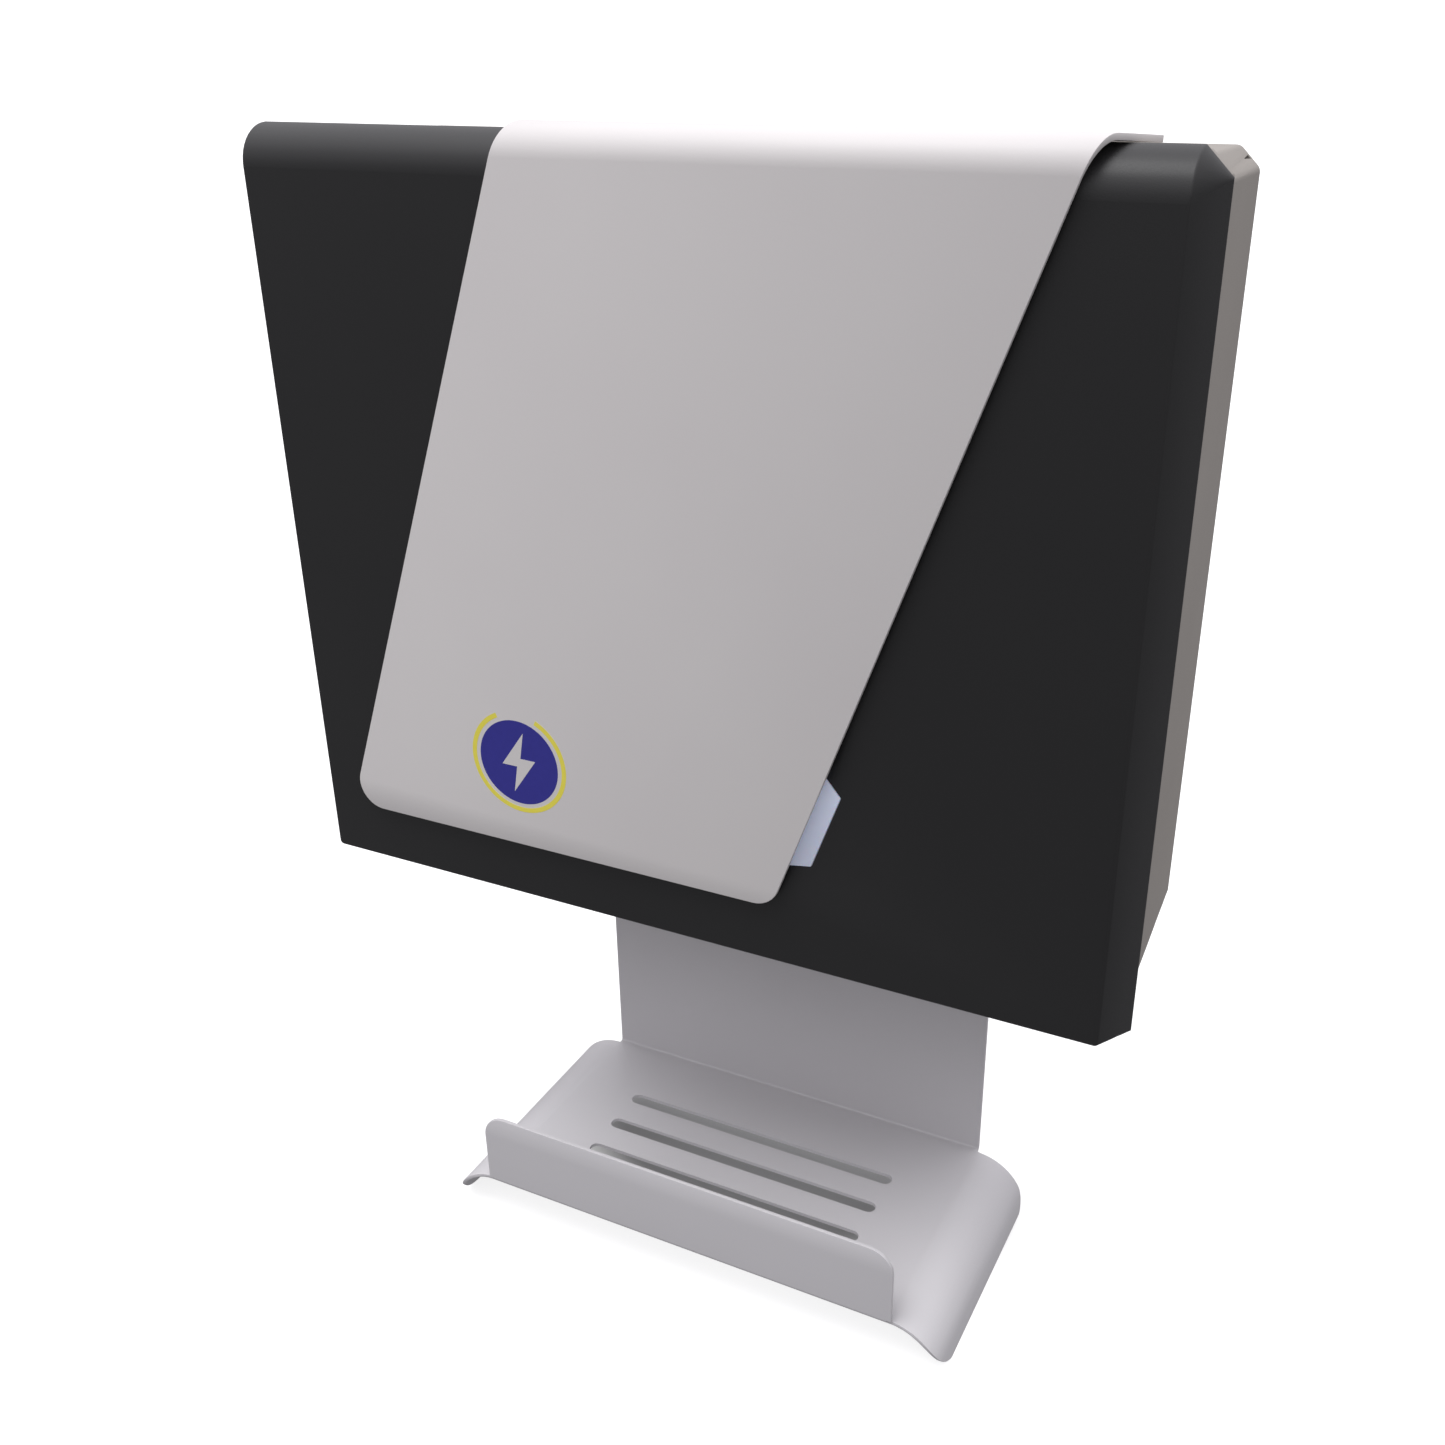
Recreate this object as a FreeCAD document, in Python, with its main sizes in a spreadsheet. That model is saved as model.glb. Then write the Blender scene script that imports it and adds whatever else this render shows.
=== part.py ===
import FreeCAD, Part
import math
import operator
import os
import Sketcher

# Wall-mounted charging box for electric cars, with a bent sheet-steel cable hanger below it.
# Millimetres. X runs to the right seen from the front, Z is up, and the wall is the plane
# y = 0, so the box comes out of the wall along -Y. z = 0 is the box's bottom edge. "Out" in
# this file is the distance from the wall, so a point at out = 100 has y = -100.

doc = FreeCAD.newDocument("charging_box")
sheet = doc.addObject("Spreadsheet::Sheet", "sizes")

NODES = []


# ---------------------------------------------------------------- values from the sheet

OPERATIONS = {"+": operator.add, "-": operator.sub, "*": operator.mul, "/": operator.truediv}


class Term:
    """A number together with the spreadsheet expression that gives it."""

    def __init__(self, number, text):
        self.number = number
        self.text = text

    def __add__(self, other):
        return combine(self, "+", other)

    def __radd__(self, other):
        return combine(other, "+", self)

    def __sub__(self, other):
        return combine(self, "-", other)

    def __rsub__(self, other):
        return combine(other, "-", self)

    def __mul__(self, other):
        return combine(self, "*", other)

    def __rmul__(self, other):
        return combine(other, "*", self)

    def __truediv__(self, other):
        return combine(self, "/", other)

    def __neg__(self):
        return combine(0, "-", self)


def term(value):
    return value if isinstance(value, Term) else Term(float(value), repr(float(value)))


def combine(left, sign, right):
    first, second = term(left), term(right)
    number = OPERATIONS[sign](first.number, second.number)
    return Term(number, f"({first.text} {sign} {second.text})")


def ordered(*values):
    return sorted(map(term, values), key=lambda value: value.number)


def sine(angle):
    return Term(math.sin(math.radians(angle.number)), f"sin({angle.text} * 1 deg)")


def cosine(angle):
    return Term(math.cos(math.radians(angle.number)), f"cos({angle.text} * 1 deg)")


def arc_length(radius, angle):
    return radius * angle * (math.pi / 180)


def size(alias, number, note):
    """Writes one driving dimension into the sheet and gives it back as a term."""
    row = len(sheet.getUsedCells()) // 2 + 1
    sheet.set(f"A{row}", note)
    sheet.set(f"B{row}", str(number))
    sheet.setAlias(f"B{row}", alias)
    return Term(float(number), f"sizes.{alias}")


# box and front cover
front_half = size("front_half", 200, "half the width of the cover's flat front")
bevel_width = size("bevel_width", 10, "how far the cover's side bevels spread outwards")
cover_depth = size("cover_depth", 17, "depth of the cover, bevels and top roll alike")
cover_back = size("cover_back", 115, "from the wall to the cover's rear edge")
box_height = size("box_height", 350.6, "height of the cover")
bevel_lip = size("bevel_lip", 0.8, "thickness left at the bevels' rear edges")
corner_cut = size("corner_cut", 10, "cut across each of the cover's top corners")
cover_wall = size("cover_wall", 3, "thickness of the cover's front")
cover_rim = size("cover_rim", 14, "width of the cover's bearing rim at the sides")
cover_foot_corner = size("cover_foot_corner", 2.2, "rounding of the lower edges of the bevels")
cover_ridge = size("cover_ridge", 1.2, "rounding where the cover's front turns into the bevels")

# rear housing
housing_inset = size("housing_inset", 10, "how far the housing's sides at the wall stay inside the cover")
housing_spread = size("housing_spread", 4.5, "draft of the housing's sides towards the front")
housing_drop = size("housing_drop", 9.2, "how far the housing's top at the wall stays below the cover's")
housing_clip = size("housing_clip", 8.5, "cut across the housing's top corners")
clip_round = size("clip_round", 4, "rounding of the long edges beside that cut")
housing_corner = size("housing_corner", 6.5, "rounding of the housing's lower long edges")
rear_round = size("rear_round", 3, "rounding of the housing's edges at the wall")
housing_wall = size("housing_wall", 3.5, "side, top and bottom wall of the housing")
back_wall = size("back_wall", 4.5, "back wall of the housing")
rim_depth = size("rim_depth", 11, "depth of the thicker rim behind the cover")
rim_step = size("rim_step", 2, "how far the rim stays inside the cover's outline")
rim_face = size("rim_face", 11, "width of the rim's flat front face")
seal_width = size("seal_width", 4, "width of the seal between housing and cover")
seal_depth = size("seal_depth", 3, "depth of the seal's groove")
seal_inset = size("seal_inset", 3.5, "from the rim's outer edge to the seal")
rim_corner = size("rim_corner", 3, "rounding of the rim's lower corners")

# slanted front panel
panel_gap = size("panel_gap", 2.7, "gap between the cover's front and the panel")
panel_sheet = size("panel_sheet", 2.5, "thickness of the panel")
panel_width = size("panel_width", 234, "width of the panel, measured level")
panel_left = size("panel_left", -182, "left end of the panel's lower edge")
panel_foot = size("panel_foot", 31.7, "height of the panel's lower edge")
panel_slope = size("panel_slope", 0.366, "sideways shift of the panel for each unit up")
panel_bend = size("panel_bend", 13, "outer radius of the panel's bend over the top")
panel_overbend = size("panel_overbend", 5.5, "how far past square the panel is bent, in degrees")
panel_top_gap = size("panel_top_gap", 0.3, "gap between the cover's rear top edge and the flange")
panel_flange = size("panel_flange", 25, "flat flange behind the bend")
panel_corner = size("panel_corner", 13, "rounding of the panel's lower corners")
panel_stud_inset = size("panel_stud_inset", 30, "from the panel's slanted edges to its studs")
panel_stud_low = size("panel_stud_low", 60, "height of the lowest panel stud")
panel_stud_mid = size("panel_stud_mid", 150, "height of the middle panel studs")
panel_stud_high = size("panel_stud_high", 300, "height of the upper panel studs")

# light window
window_side = size("window_side", 39, "side of the hexagonal light window")
window_x = size("window_x", 44, "centre of the window, sideways")
window_z = size("window_z", 84, "centre of the window, height")
window_turn = size("window_turn", 9.9, "angle of the hexagon's first corner above level")
window_lap = size("window_lap", 4, "flange of the window behind the cover")
window_fit = size("window_fit", 0.15, "clearance round the window")
flange_sheet = size("flange_sheet", 2.5, "thickness of that flange")
lamp_depth = size("lamp_depth", 16, "depth of the light box behind the window")
ear_radius = size("ear_radius", 5, "radius of the light box's screw ears")
ear_bore = size("ear_bore", 1.6, "radius of the bores in those ears")
ear_sheet = size("ear_sheet", 3, "thickness of those ears")
board_sheet = size("board_sheet", 1.6, "thickness of the light's circuit board")
led_half = size("led_half", 2.5, "half side of an LED")
led_height = size("led_height", 1.5, "height of an LED")

# cable hanger
hanger_sheet = size("hanger_sheet", 2, "sheet thickness of the cable hanger")
plate_half = size("plate_half", 115.5, "half width of the hanger's back plate and saddle")
plate_up = size("plate_up", 60, "how far the back plate reaches up behind the box")
plate_fit = size("plate_fit", 0.5, "clearance round the back plate in the housing")
plate_seat = size("plate_seat", 0.3, "how much deeper the housing's recess is than the plate")
saddle_drop = size("saddle_drop", 186.2, "from the box's bottom edge down to the saddle")
saddle_depth = size("saddle_depth", 141.3, "from the wall to the lip's front face")
fold_radius = size("fold_radius", 1.2, "inner radius of the hanger's folds")
lip_half = size("lip_half", 118, "half width of the lip")
lip_height = size("lip_height", 43.6, "height of the lip above the saddle")
lip_corner = size("lip_corner", 13, "rounding of the lip's upper corners")
slot_length = size("slot_length", 163, "length of the saddle's slots")
slot_width = size("slot_width", 8, "width of the saddle's slots")
slot_first = size("slot_first", 47.5, "from the wall to the first slot")
slot_pitch = size("slot_pitch", 23.75, "distance between the slots")
wing_radius = size("wing_radius", 28.5, "outer bend radius of the side wings")
wing_angle = size("wing_angle", 73, "bend angle of the side wings, in degrees")
wing_end = size("wing_end", 6.4, "straight end of the side wings")
wing_rear = size("wing_rear", 4.5, "from the wall to the wings")
wing_front = size("wing_front", 139.5, "from the wall to the wings' front edge")
wing_front_corner = size("wing_front_corner", 20, "rounding of the wings' front corners")
wing_rear_corner = size("wing_rear_corner", 13, "rounding of the wings' rear corners")
stud_x = size("stud_x", 80, "hanger studs to either side of the middle")
stud_low = size("stud_low", 15, "height of the lower hanger studs")
stud_high = size("stud_high", 45, "height of the upper hanger studs")
stud_length = size("stud_length", 14, "length of the hanger studs")

# fixings
wall_hole_x = size("wall_hole_x", 150, "wall fixing holes to either side of the middle")
wall_hole_low = size("wall_hole_low", 40, "height of the lower wall fixing holes")
wall_hole_high = size("wall_hole_high", 300, "height of the upper wall fixing holes")
wall_hole_radius = size("wall_hole_radius", 3.5, "radius of the wall fixing holes")
boss_radius = size("boss_radius", 9, "radius of the bosses round the wall fixing holes")
boss_height = size("boss_height", 3.5, "height of those bosses")
stud_radius = size("stud_radius", 2.5, "hanger stud, M5")
small_screw = size("small_screw", 2, "radius of the M4 screws and panel studs")
thread_fit = size("thread_fit", 0.05, "clearance of screws and studs in their nuts")
nut_height = size("nut_height", 4, "height of the nuts on panel and hanger studs")
nut_corner = size("nut_corner", 1.9, "a nut's corner radius, as a multiple of its thread radius")
spacer_radius = size("spacer_radius", 6, "radius of the spacers behind the panel")
hole_fit = size("hole_fit", 0.25, "clearance of screws and studs in plain holes")
tapping_radius = size("tapping_radius", 1.8, "radius of the holes for the socket's screws")
core_depth = size("core_depth", 1.8, "depth of the cored fields in the housing's back")
core_rib = size("core_rib", 4, "width of the ribs between those fields")
bracket_x = size("bracket_x", 85, "cover brackets to either side of the middle")
bracket_half = size("bracket_half", 10, "half width of a cover bracket")
bracket_sheet = size("bracket_sheet", 3, "thickness of a cover bracket")
bracket_foot = size("bracket_foot", 18, "length of the bracket's foot in the housing")
catch_half = size("catch_half", 15, "half width of a cover catch")
catch_sheet = size("catch_sheet", 4, "thickness of a cover catch")
screw_well = size("screw_well", 4.3, "radius of the wells that the cover screws' heads sit in")
well_depth = size("well_depth", 4, "depth of those wells")
screw_head = size("screw_head", 3.4, "height of the cover screws' heads")

# switchgear on its rail
rail_height = size("rail_height", 35, "height of the mounting rail")
rail_depth = size("rail_depth", 7.5, "depth of the mounting rail")
rail_sheet = size("rail_sheet", 1, "thickness of the mounting rail")
rail_lip = size("rail_lip", 5, "width of the mounting rail's lips")
rail_z = size("rail_z", 235, "height of the rail's middle line")
rail_left = size("rail_left", -190, "left end of the rail")
rail_standoff = size("rail_standoff", 7.5, "height of the rail's bosses on the back wall")
rail_boss = size("rail_boss", 6, "radius of those bosses")
device_gap = size("device_gap", 4, "space between neighbours on the rail")
module = size("module", 18, "width of one switchgear module")
device_height = size("device_height", 85, "height of the switchgear")
device_depth = size("device_depth", 46, "depth of the switchgear's shoulders")
nose_height = size("nose_height", 45, "height of the switchgear's nose")
nose_depth = size("nose_depth", 22, "depth of the switchgear's nose")
clamp_width = size("clamp_width", 6, "width of the rail's end clamps")
clamp_space = size("clamp_space", 1, "space between an end clamp and its neighbours")
plug_pitch = size("plug_pitch", 10, "distance between the controller's plug-in terminals")
plug_gap = size("plug_gap", 0.6, "space between them")
plug_bore = size("plug_bore", 2, "radius of their screw wells")
terminal_pitch = size("terminal_pitch", 8, "width of one supply terminal")
terminal_gap = size("terminal_gap", 0.3, "space between supply terminals")
terminal_depth = size("terminal_depth", 36, "depth of a supply terminal")
terminal_half = size("terminal_half", 24, "half height of a supply terminal")
terminal_bore = size("terminal_bore", 2.4, "radius of its screw wells")
lever_place = size("lever_place", 22, "from the breaker's left side to its lever")
lever_sink = size("lever_sink", 9, "how far the lever's axis lies behind the breaker's nose")
lever_sheet = size("lever_sheet", 5, "thickness of the switch lever")
axle_reach = size("axle_reach", 3, "how far the lever's stub axles reach into the breaker")
button_place = size("button_place", 56, "from the breaker's left side to its test button")
button_rise = size("button_rise", 13, "height of the test button above the rail's middle line")
flag_width = size("flag_width", 5, "width of the contactor's flag")
flag_height = size("flag_height", 6, "height of the contactor's flag")
flag_rise = size("flag_rise", 8, "foot of that flag above the rail's middle line")
lever_hub = size("lever_hub", 5, "radius of the switch lever's hub")
lever_reach = size("lever_reach", 21, "length of the switch lever from its axis")
lever_width = size("lever_width", 9, "width of the switch lever")
lever_tilt = size("lever_tilt", 30, "tilt of the lever when on, in degrees above level")
lever_axle = size("lever_axle", 2, "radius of the lever's stub axles")
lever_play = size("lever_play", 0.5, "side clearance of the lever in its slot")
running_fit = size("running_fit", 0.08, "radial running clearance of axles and plungers")
button_radius = size("button_radius", 3, "radius of the test button")
slide_fit = size("slide_fit", 0.4, "clearance of the contactor's flag")

earth_half = size("earth_half", 30, "half length of the earth bar")
earth_z = size("earth_z", 105, "height of the earth bar")
earth_post = size("earth_post", 15, "length of the earth bar's posts")
earth_bar_depth = size("earth_bar_depth", 8, "depth of the earth bar")
earth_screw = size("earth_screw", 1.7, "radius of the earth bar's screws")
sensor_z = size("sensor_z", 110, "height of the leakage sensor's lower face")
sensor_height = size("sensor_height", 20, "height of the leakage sensor")
sensor_radius = size("sensor_radius", 22, "outer radius of the leakage sensor")
sensor_bore = size("sensor_bore", 12, "radius of the leakage sensor's bore")

# outlet socket
socket_x = size("socket_x", 155, "centre of the socket, sideways")
socket_out = size("socket_out", 60, "centre of the socket, out from the wall")
socket_flange = size("socket_flange", 36, "half side of the socket's square flange")
socket_barrel = size("socket_barrel", 30, "outer radius of the socket's barrel")
socket_bore = size("socket_bore", 26, "inner radius of the socket's barrel")
socket_height = size("socket_height", 50, "height of the barrel above the box's bottom edge")
socket_floor = size("socket_floor", 8, "thickness of the barrel's closed end")
barrel_fit = size("barrel_fit", 0.5, "clearance of the barrel in the housing")
flange_depth = size("flange_depth", 4, "thickness of the socket's flange")
flange_seal = size("flange_seal", 1, "thickness of the flange's seal")
insert_radius = size("insert_radius", 21.5, "radius of the contact insert")
insert_height = size("insert_height", 20, "height of the contact insert")
contact_radius = size("contact_radius", 3.9, "outer radius of a power contact")
signal_radius = size("signal_radius", 2.6, "outer radius of a signal contact")
contact_sheet = size("contact_sheet", 1, "wall of the contact sleeves")
contact_ring = size("contact_ring", 13.5, "radius of the ring of contacts")
flap_radius = size("flap_radius", 29, "radius of the socket's flap")
flap_depth = size("flap_depth", 3, "thickness of the flap")
flap_gap = size("flap_gap", 1, "gap between flange and flap, filled by the flap's seal")
seal_clear = size("seal_clear", 0.3, "what the flap's seal leaves of that gap")
grip_half = size("grip_half", 9, "half width of the flap's grip")
spring_wire = size("spring_wire", 0.4, "radius of the wire of the flap's spring")
hinge_offset = size("hinge_offset", 33.5, "from the socket's centre to the flap's hinge")
hinge_radius = size("hinge_radius", 3, "radius of the hinge knuckle")
hinge_pin = size("hinge_pin", 1.5, "radius of the hinge pin")
knuckle_half = size("knuckle_half", 6, "half length of the flap's knuckle")
lug_inner = size("lug_inner", 10, "from the middle to the inside of the hinge lugs")
lug_width = size("lug_width", 4, "thickness of the hinge lugs")
lock_radius = size("lock_radius", 3, "radius of the plug's locking pin")
lock_height = size("lock_height", 12, "height of the locking pin")
pin_length = size("pin_length", 27, "length of the locking pin")
drive_length = size("drive_length", 34, "length of the lock's motor drive")
drive_half = size("drive_half", 14, "half depth of that drive")
drive_height = size("drive_height", 36, "height of that drive")

# entries in the underside
entry_out = size("entry_out", 60, "from the wall to the cable entries")
supply_x = size("supply_x", -158, "place of the supply gland")
supply_radius = size("supply_radius", 16, "thread radius of the supply gland, M32")
supply_bore = size("supply_bore", 9, "bore of the supply gland's seal")
gland_rubber = size("gland_rubber", 3, "wall of that seal")
gland_collar = size("gland_collar", 10, "from the box down to the foot of the gland's hexagon")
gland_washer = size("gland_washer", 1, "thickness of the gland's washer")
gland_grip = size("gland_grip", 5, "thread of the gland's body inside its dome nut")
gland_skirt = size("gland_skirt", 10, "height of the dome nut's hexagon")
gland_dome = size("gland_dome", 8, "height of the dome nut's round end")
gland_seal_low = size("gland_seal_low", 26, "from the box down to the foot of the gland's seal")
gland_seal_length = size("gland_seal_length", 20, "length of the gland's seal")
locknut_height = size("locknut_height", 6, "height of the gland's locknut")
plug_locknut = size("plug_locknut", 5, "height of the plugs' locknuts")
spare_x = size("spare_x", -95, "place of the spare entry's plug")
spare_radius = size("spare_radius", 10, "thread radius of the spare entry, M20")
vent_x = size("vent_x", -50, "place of the pressure vent")
vent_radius = size("vent_radius", 6, "thread radius of the pressure vent, M12")

# values that follow from the ones above
box_half = front_half + bevel_width
housing_half = box_half - housing_inset
housing_height = box_height - housing_drop
front_out = cover_back + cover_depth
cover_inside = front_out - cover_wall
rim_out = cover_back - rim_depth
rim_half = box_half - rim_step
rim_top = box_height - rim_step
cavity_half = rim_half - rim_face
cavity_top = rim_top - rim_face
rim_foot = rim_step / 2
mouth_foot = rim_step + rim_face
device_back = back_wall + rail_standoff + rail_depth
shoulder_out = device_back + device_depth
nose_out = shoulder_out + nose_depth
panel_back = front_out + panel_gap
panel_front = panel_back + panel_sheet
doc.recompute()


# ---------------------------------------------------------------- modelling helpers

def bind(thing, name, value):
    """Gives a property its value, tied to the sheet where the value comes from there."""
    if isinstance(value, Term):
        thing.setExpression(name, value.text)
    else:
        setattr(thing, name, value)


def put(thing, x, out, z, rotation=FreeCAD.Rotation()):
    """Places a primitive by its distance right, out of the wall and up."""
    spot = [term(x), -term(out), term(z)]
    thing.Placement = FreeCAD.Placement(FreeCAD.Vector(*[value.number for value in spot]), rotation)
    for letter, value in zip("xyz", spot):
        thing.setExpression(f"Placement.Base.{letter}", value.text)
    return thing


ALONG = {
    "up": FreeCAD.Rotation(),
    "out": FreeCAD.Rotation(FreeCAD.Vector(1, 0, 0), 90),
    "right": FreeCAD.Rotation(FreeCAD.Vector(0, 1, 0), 90),
}


def block(x, out, z):
    """A box between two sideways places, two distances from the wall and two heights."""
    made = doc.addObject("Part::Box", "block")
    for name, (low, high) in (("Length", x), ("Width", out), ("Height", z)):
        bind(made, name, term(high) - low)
    return put(made, x[0], out[1], z[0])


def rod(radius, x, out, z, length, along="up"):
    made = doc.addObject("Part::Cylinder", "rod")
    bind(made, "Radius", term(radius))
    bind(made, "Height", term(length))
    return put(made, x, out, z, ALONG[along])


def hexagon(radius, x, out, z, length, along="up", turn=0):
    made = doc.addObject("Part::Prism", "hexagon")
    made.Polygon = 6
    bind(made, "Circumradius", term(radius))
    bind(made, "Height", term(length))
    spin = FreeCAD.Rotation(FreeCAD.Vector(0, 0, 1), term(turn).number)
    return put(made, x, out, z, ALONG[along] * spin)


def fuse(*pieces):
    made = doc.addObject("Part::MultiFuse", "fused")
    made.Shapes = list(pieces)
    return made


def group(*pieces):
    made = doc.addObject("Part::Compound", "group")
    made.Links = list(pieces)
    return made


def cut(base, *tools):
    """Cuts the tools out of the base, and makes sure that something is cut."""
    made = doc.addObject("Part::Cut", "cut")
    made.Base = base
    made.Tool = tools[0] if len(tools) == 1 else group(*tools)
    doc.recompute()
    if not made.Shape.Volume < base.Shape.Volume - 1e-6:
        raise ValueError(f"a cut in {base.Name} takes nothing away")
    return made


def tube(outer, inner, x, out, z, length, along="up"):
    return cut(rod(outer, x, out, z, length, along), rod(inner, x, out, z, length, along))


def node(label, thing):
    """Marks a finished sub-part, whose label names its file."""
    thing.Label = label
    NODES.append(thing)
    return thing


def new_body(name):
    return doc.addObject("PartDesign::Body", name)


def new_sketch(body, plane, offset, turn=0, shift=(0, 0)):
    """A sketch on one of the body's own planes, moved along the plane's normal.

    XZ planes face out of the wall. shift and turn place the sketch about the X axis.
    """
    made = body.newObject("Sketcher::SketchObject", "outline")
    made.AttachmentSupport = [f for f in body.Origin.OriginFeatures if f.Role == f"{plane}_Plane"]
    made.MapMode = "FlatFace"
    spot = FreeCAD.Vector(0, term(shift[0]).number, term(shift[1]).number + term(offset).number)
    made.AttachmentOffset = FreeCAD.Placement(spot, FreeCAD.Rotation(FreeCAD.Vector(1, 0, 0), turn))
    made.setExpression("AttachmentOffset.Base.y", term(shift[0]).text)
    made.setExpression("AttachmentOffset.Base.z", (term(shift[1]) + offset).text)
    return made


def dimension(sketch, kind, where, value):
    index = sketch.addConstraint(Sketcher.Constraint(kind, *where, value.number))
    sketch.setExpression(f"Constraints[{index}]", value.text)


def fix_point(sketch, geometry, point, place):
    for kind, value in zip(("DistanceX", "DistanceY"), place):
        dimension(sketch, kind, (-1, 1, geometry, point), term(value))


def polygon(body, plane, offset, points, **placing):
    """A closed outline of straight lines, each corner held at its own place."""
    sketch = new_sketch(body, plane, offset, **placing)
    places = [FreeCAD.Vector(term(a).number, term(b).number, 0) for a, b in points]
    for index, place in enumerate(places):
        sketch.addGeometry(Part.LineSegment(place, places[(index + 1) % len(places)]), False)
    for index in range(len(points)):
        follower = (index + 1) % len(points)
        sketch.addConstraint(Sketcher.Constraint("Coincident", index, 2, follower, 1))
        fix_point(sketch, index, 1, points[index])
    return sketch


def rectangle(body, plane, offset, across, up, **placing):
    corners = [(across[0], up[0]), (across[1], up[0]), (across[1], up[1]), (across[0], up[1])]
    return polygon(body, plane, offset, corners, **placing)


def circles(body, plane, offset, radius, centres):
    sketch = new_sketch(body, plane, offset)
    for index, (across, up) in enumerate(centres):
        middle = FreeCAD.Vector(term(across).number, term(up).number, 0)
        sketch.addGeometry(Part.Circle(middle, FreeCAD.Vector(0, 0, 1), term(radius).number), False)
        fix_point(sketch, index, 3, (across, up))
        dimension(sketch, "Radius", (index,), term(radius))
    return sketch


def slot(body, plane, offset, centre, length, width):
    """A long hole with round ends, lying along the sketch's first axis."""
    sketch = new_sketch(body, plane, offset)
    reach = (length - width) / 2
    radius = width / 2
    ends = [(centre[0] + reach, -90, 90), (centre[0] - reach, 90, 270)]
    normal = FreeCAD.Vector(0, 0, 1)
    for index, (across, start, stop) in enumerate(ends):
        middle = FreeCAD.Vector(term(across).number, term(centre[1]).number, 0)
        circle = Part.Circle(middle, normal, radius.number)
        arc = Part.ArcOfCircle(circle, math.radians(start), math.radians(stop))
        sketch.addGeometry(arc, False)
        fix_point(sketch, index, 3, (across, centre[1]))
        dimension(sketch, "Radius", (index,), radius)
    right, left = sketch.Geometry
    sketch.addGeometry(Part.LineSegment(right.EndPoint, left.StartPoint), False)
    sketch.addGeometry(Part.LineSegment(left.EndPoint, right.StartPoint), False)
    for first, first_end, second, second_end in ((0, 2, 2, 1), (2, 2, 1, 1), (1, 2, 3, 1), (3, 2, 0, 1)):
        sketch.addConstraint(Sketcher.Constraint("Tangent", first, first_end, second, second_end))
    return sketch


def check(thing):
    """Stops the build if a recomputed object or one of its features has failed."""
    for item in [thing, *thing.OutListRecursive]:
        if {"Invalid", "Error"} & set(item.State):
            raise ValueError(f"{item.Name} failed: {item.State} {item.getStatusString()}")


def pad(body, sketch, length, reverse=False, centred=False):
    made = body.newObject("PartDesign::Pad", "pad")
    made.Profile = sketch
    bind(made, "Length", term(length))
    made.Reversed = reverse
    if centred:
        made.SideType = "Symmetric"
    return made


def pocket(body, sketch, depth, reverse=False):
    """Cuts a sketch into the body: towards the wall from an XZ plane, or out of it if reversed."""
    doc.recompute()
    check(body)
    before = body.Shape.Volume
    made = body.newObject("PartDesign::Pocket", "pocket")
    made.Profile = sketch
    bind(made, "Length", term(depth))
    made.Reversed = reverse
    doc.recompute()
    if not body.Shape.Volume < before - 1e-6:
        raise ValueError(f"a pocket in {body.Name} takes nothing away")
    return made


def loft(body, sketches, kind="PartDesign::AdditiveLoft"):
    made = body.newObject(kind, "loft")
    made.Profile = sketches[0]
    made.Sections = list(sketches[1:])
    return made


def dress(body, kind, amount, chosen):
    """Rounds or chamfers the edges for which chosen(edge) is true."""
    doc.recompute()
    base = body.Tip
    names = [f"Edge{i + 1}" for i, edge in enumerate(base.Shape.Edges) if chosen(edge)]
    if not names:
        raise ValueError(f"no edge to dress in {body.Name}")
    made = body.newObject(f"PartDesign::{kind}", kind.lower())
    made.Base = (base, names)
    bind(made, "Radius" if kind == "Fillet" else "Size", term(amount))
    return made


def near(first, second, tolerance=0.05):
    return abs(first - term(second).number) < tolerance


def straight(edge, axis):
    """True for a straight edge along the axis with that index."""
    ends = [vertex.Point for vertex in edge.Vertexes]
    if len(ends) != 2 or edge.Curve.TypeId != "Part::GeomLine":
        return False
    gaps = [abs(ends[0][i] - ends[1][i]) for i in range(3)]
    return gaps[axis] > 1e-3 and max(gaps[:axis] + gaps[axis + 1:]) < 1e-3


# ---------------------------------------------------------------- rear housing

def housing_outline(body, out, spread):
    """The housing's outline at a distance from the wall, with its top corners cut off."""
    side = housing_half + spread
    top = housing_height + spread
    return polygon(body, "XZ", out, [
        (-side, term(0)), (side, term(0)), (side, top - housing_clip), (side - housing_clip, top),
        (housing_clip - side, top), (-side, top - housing_clip)])


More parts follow.
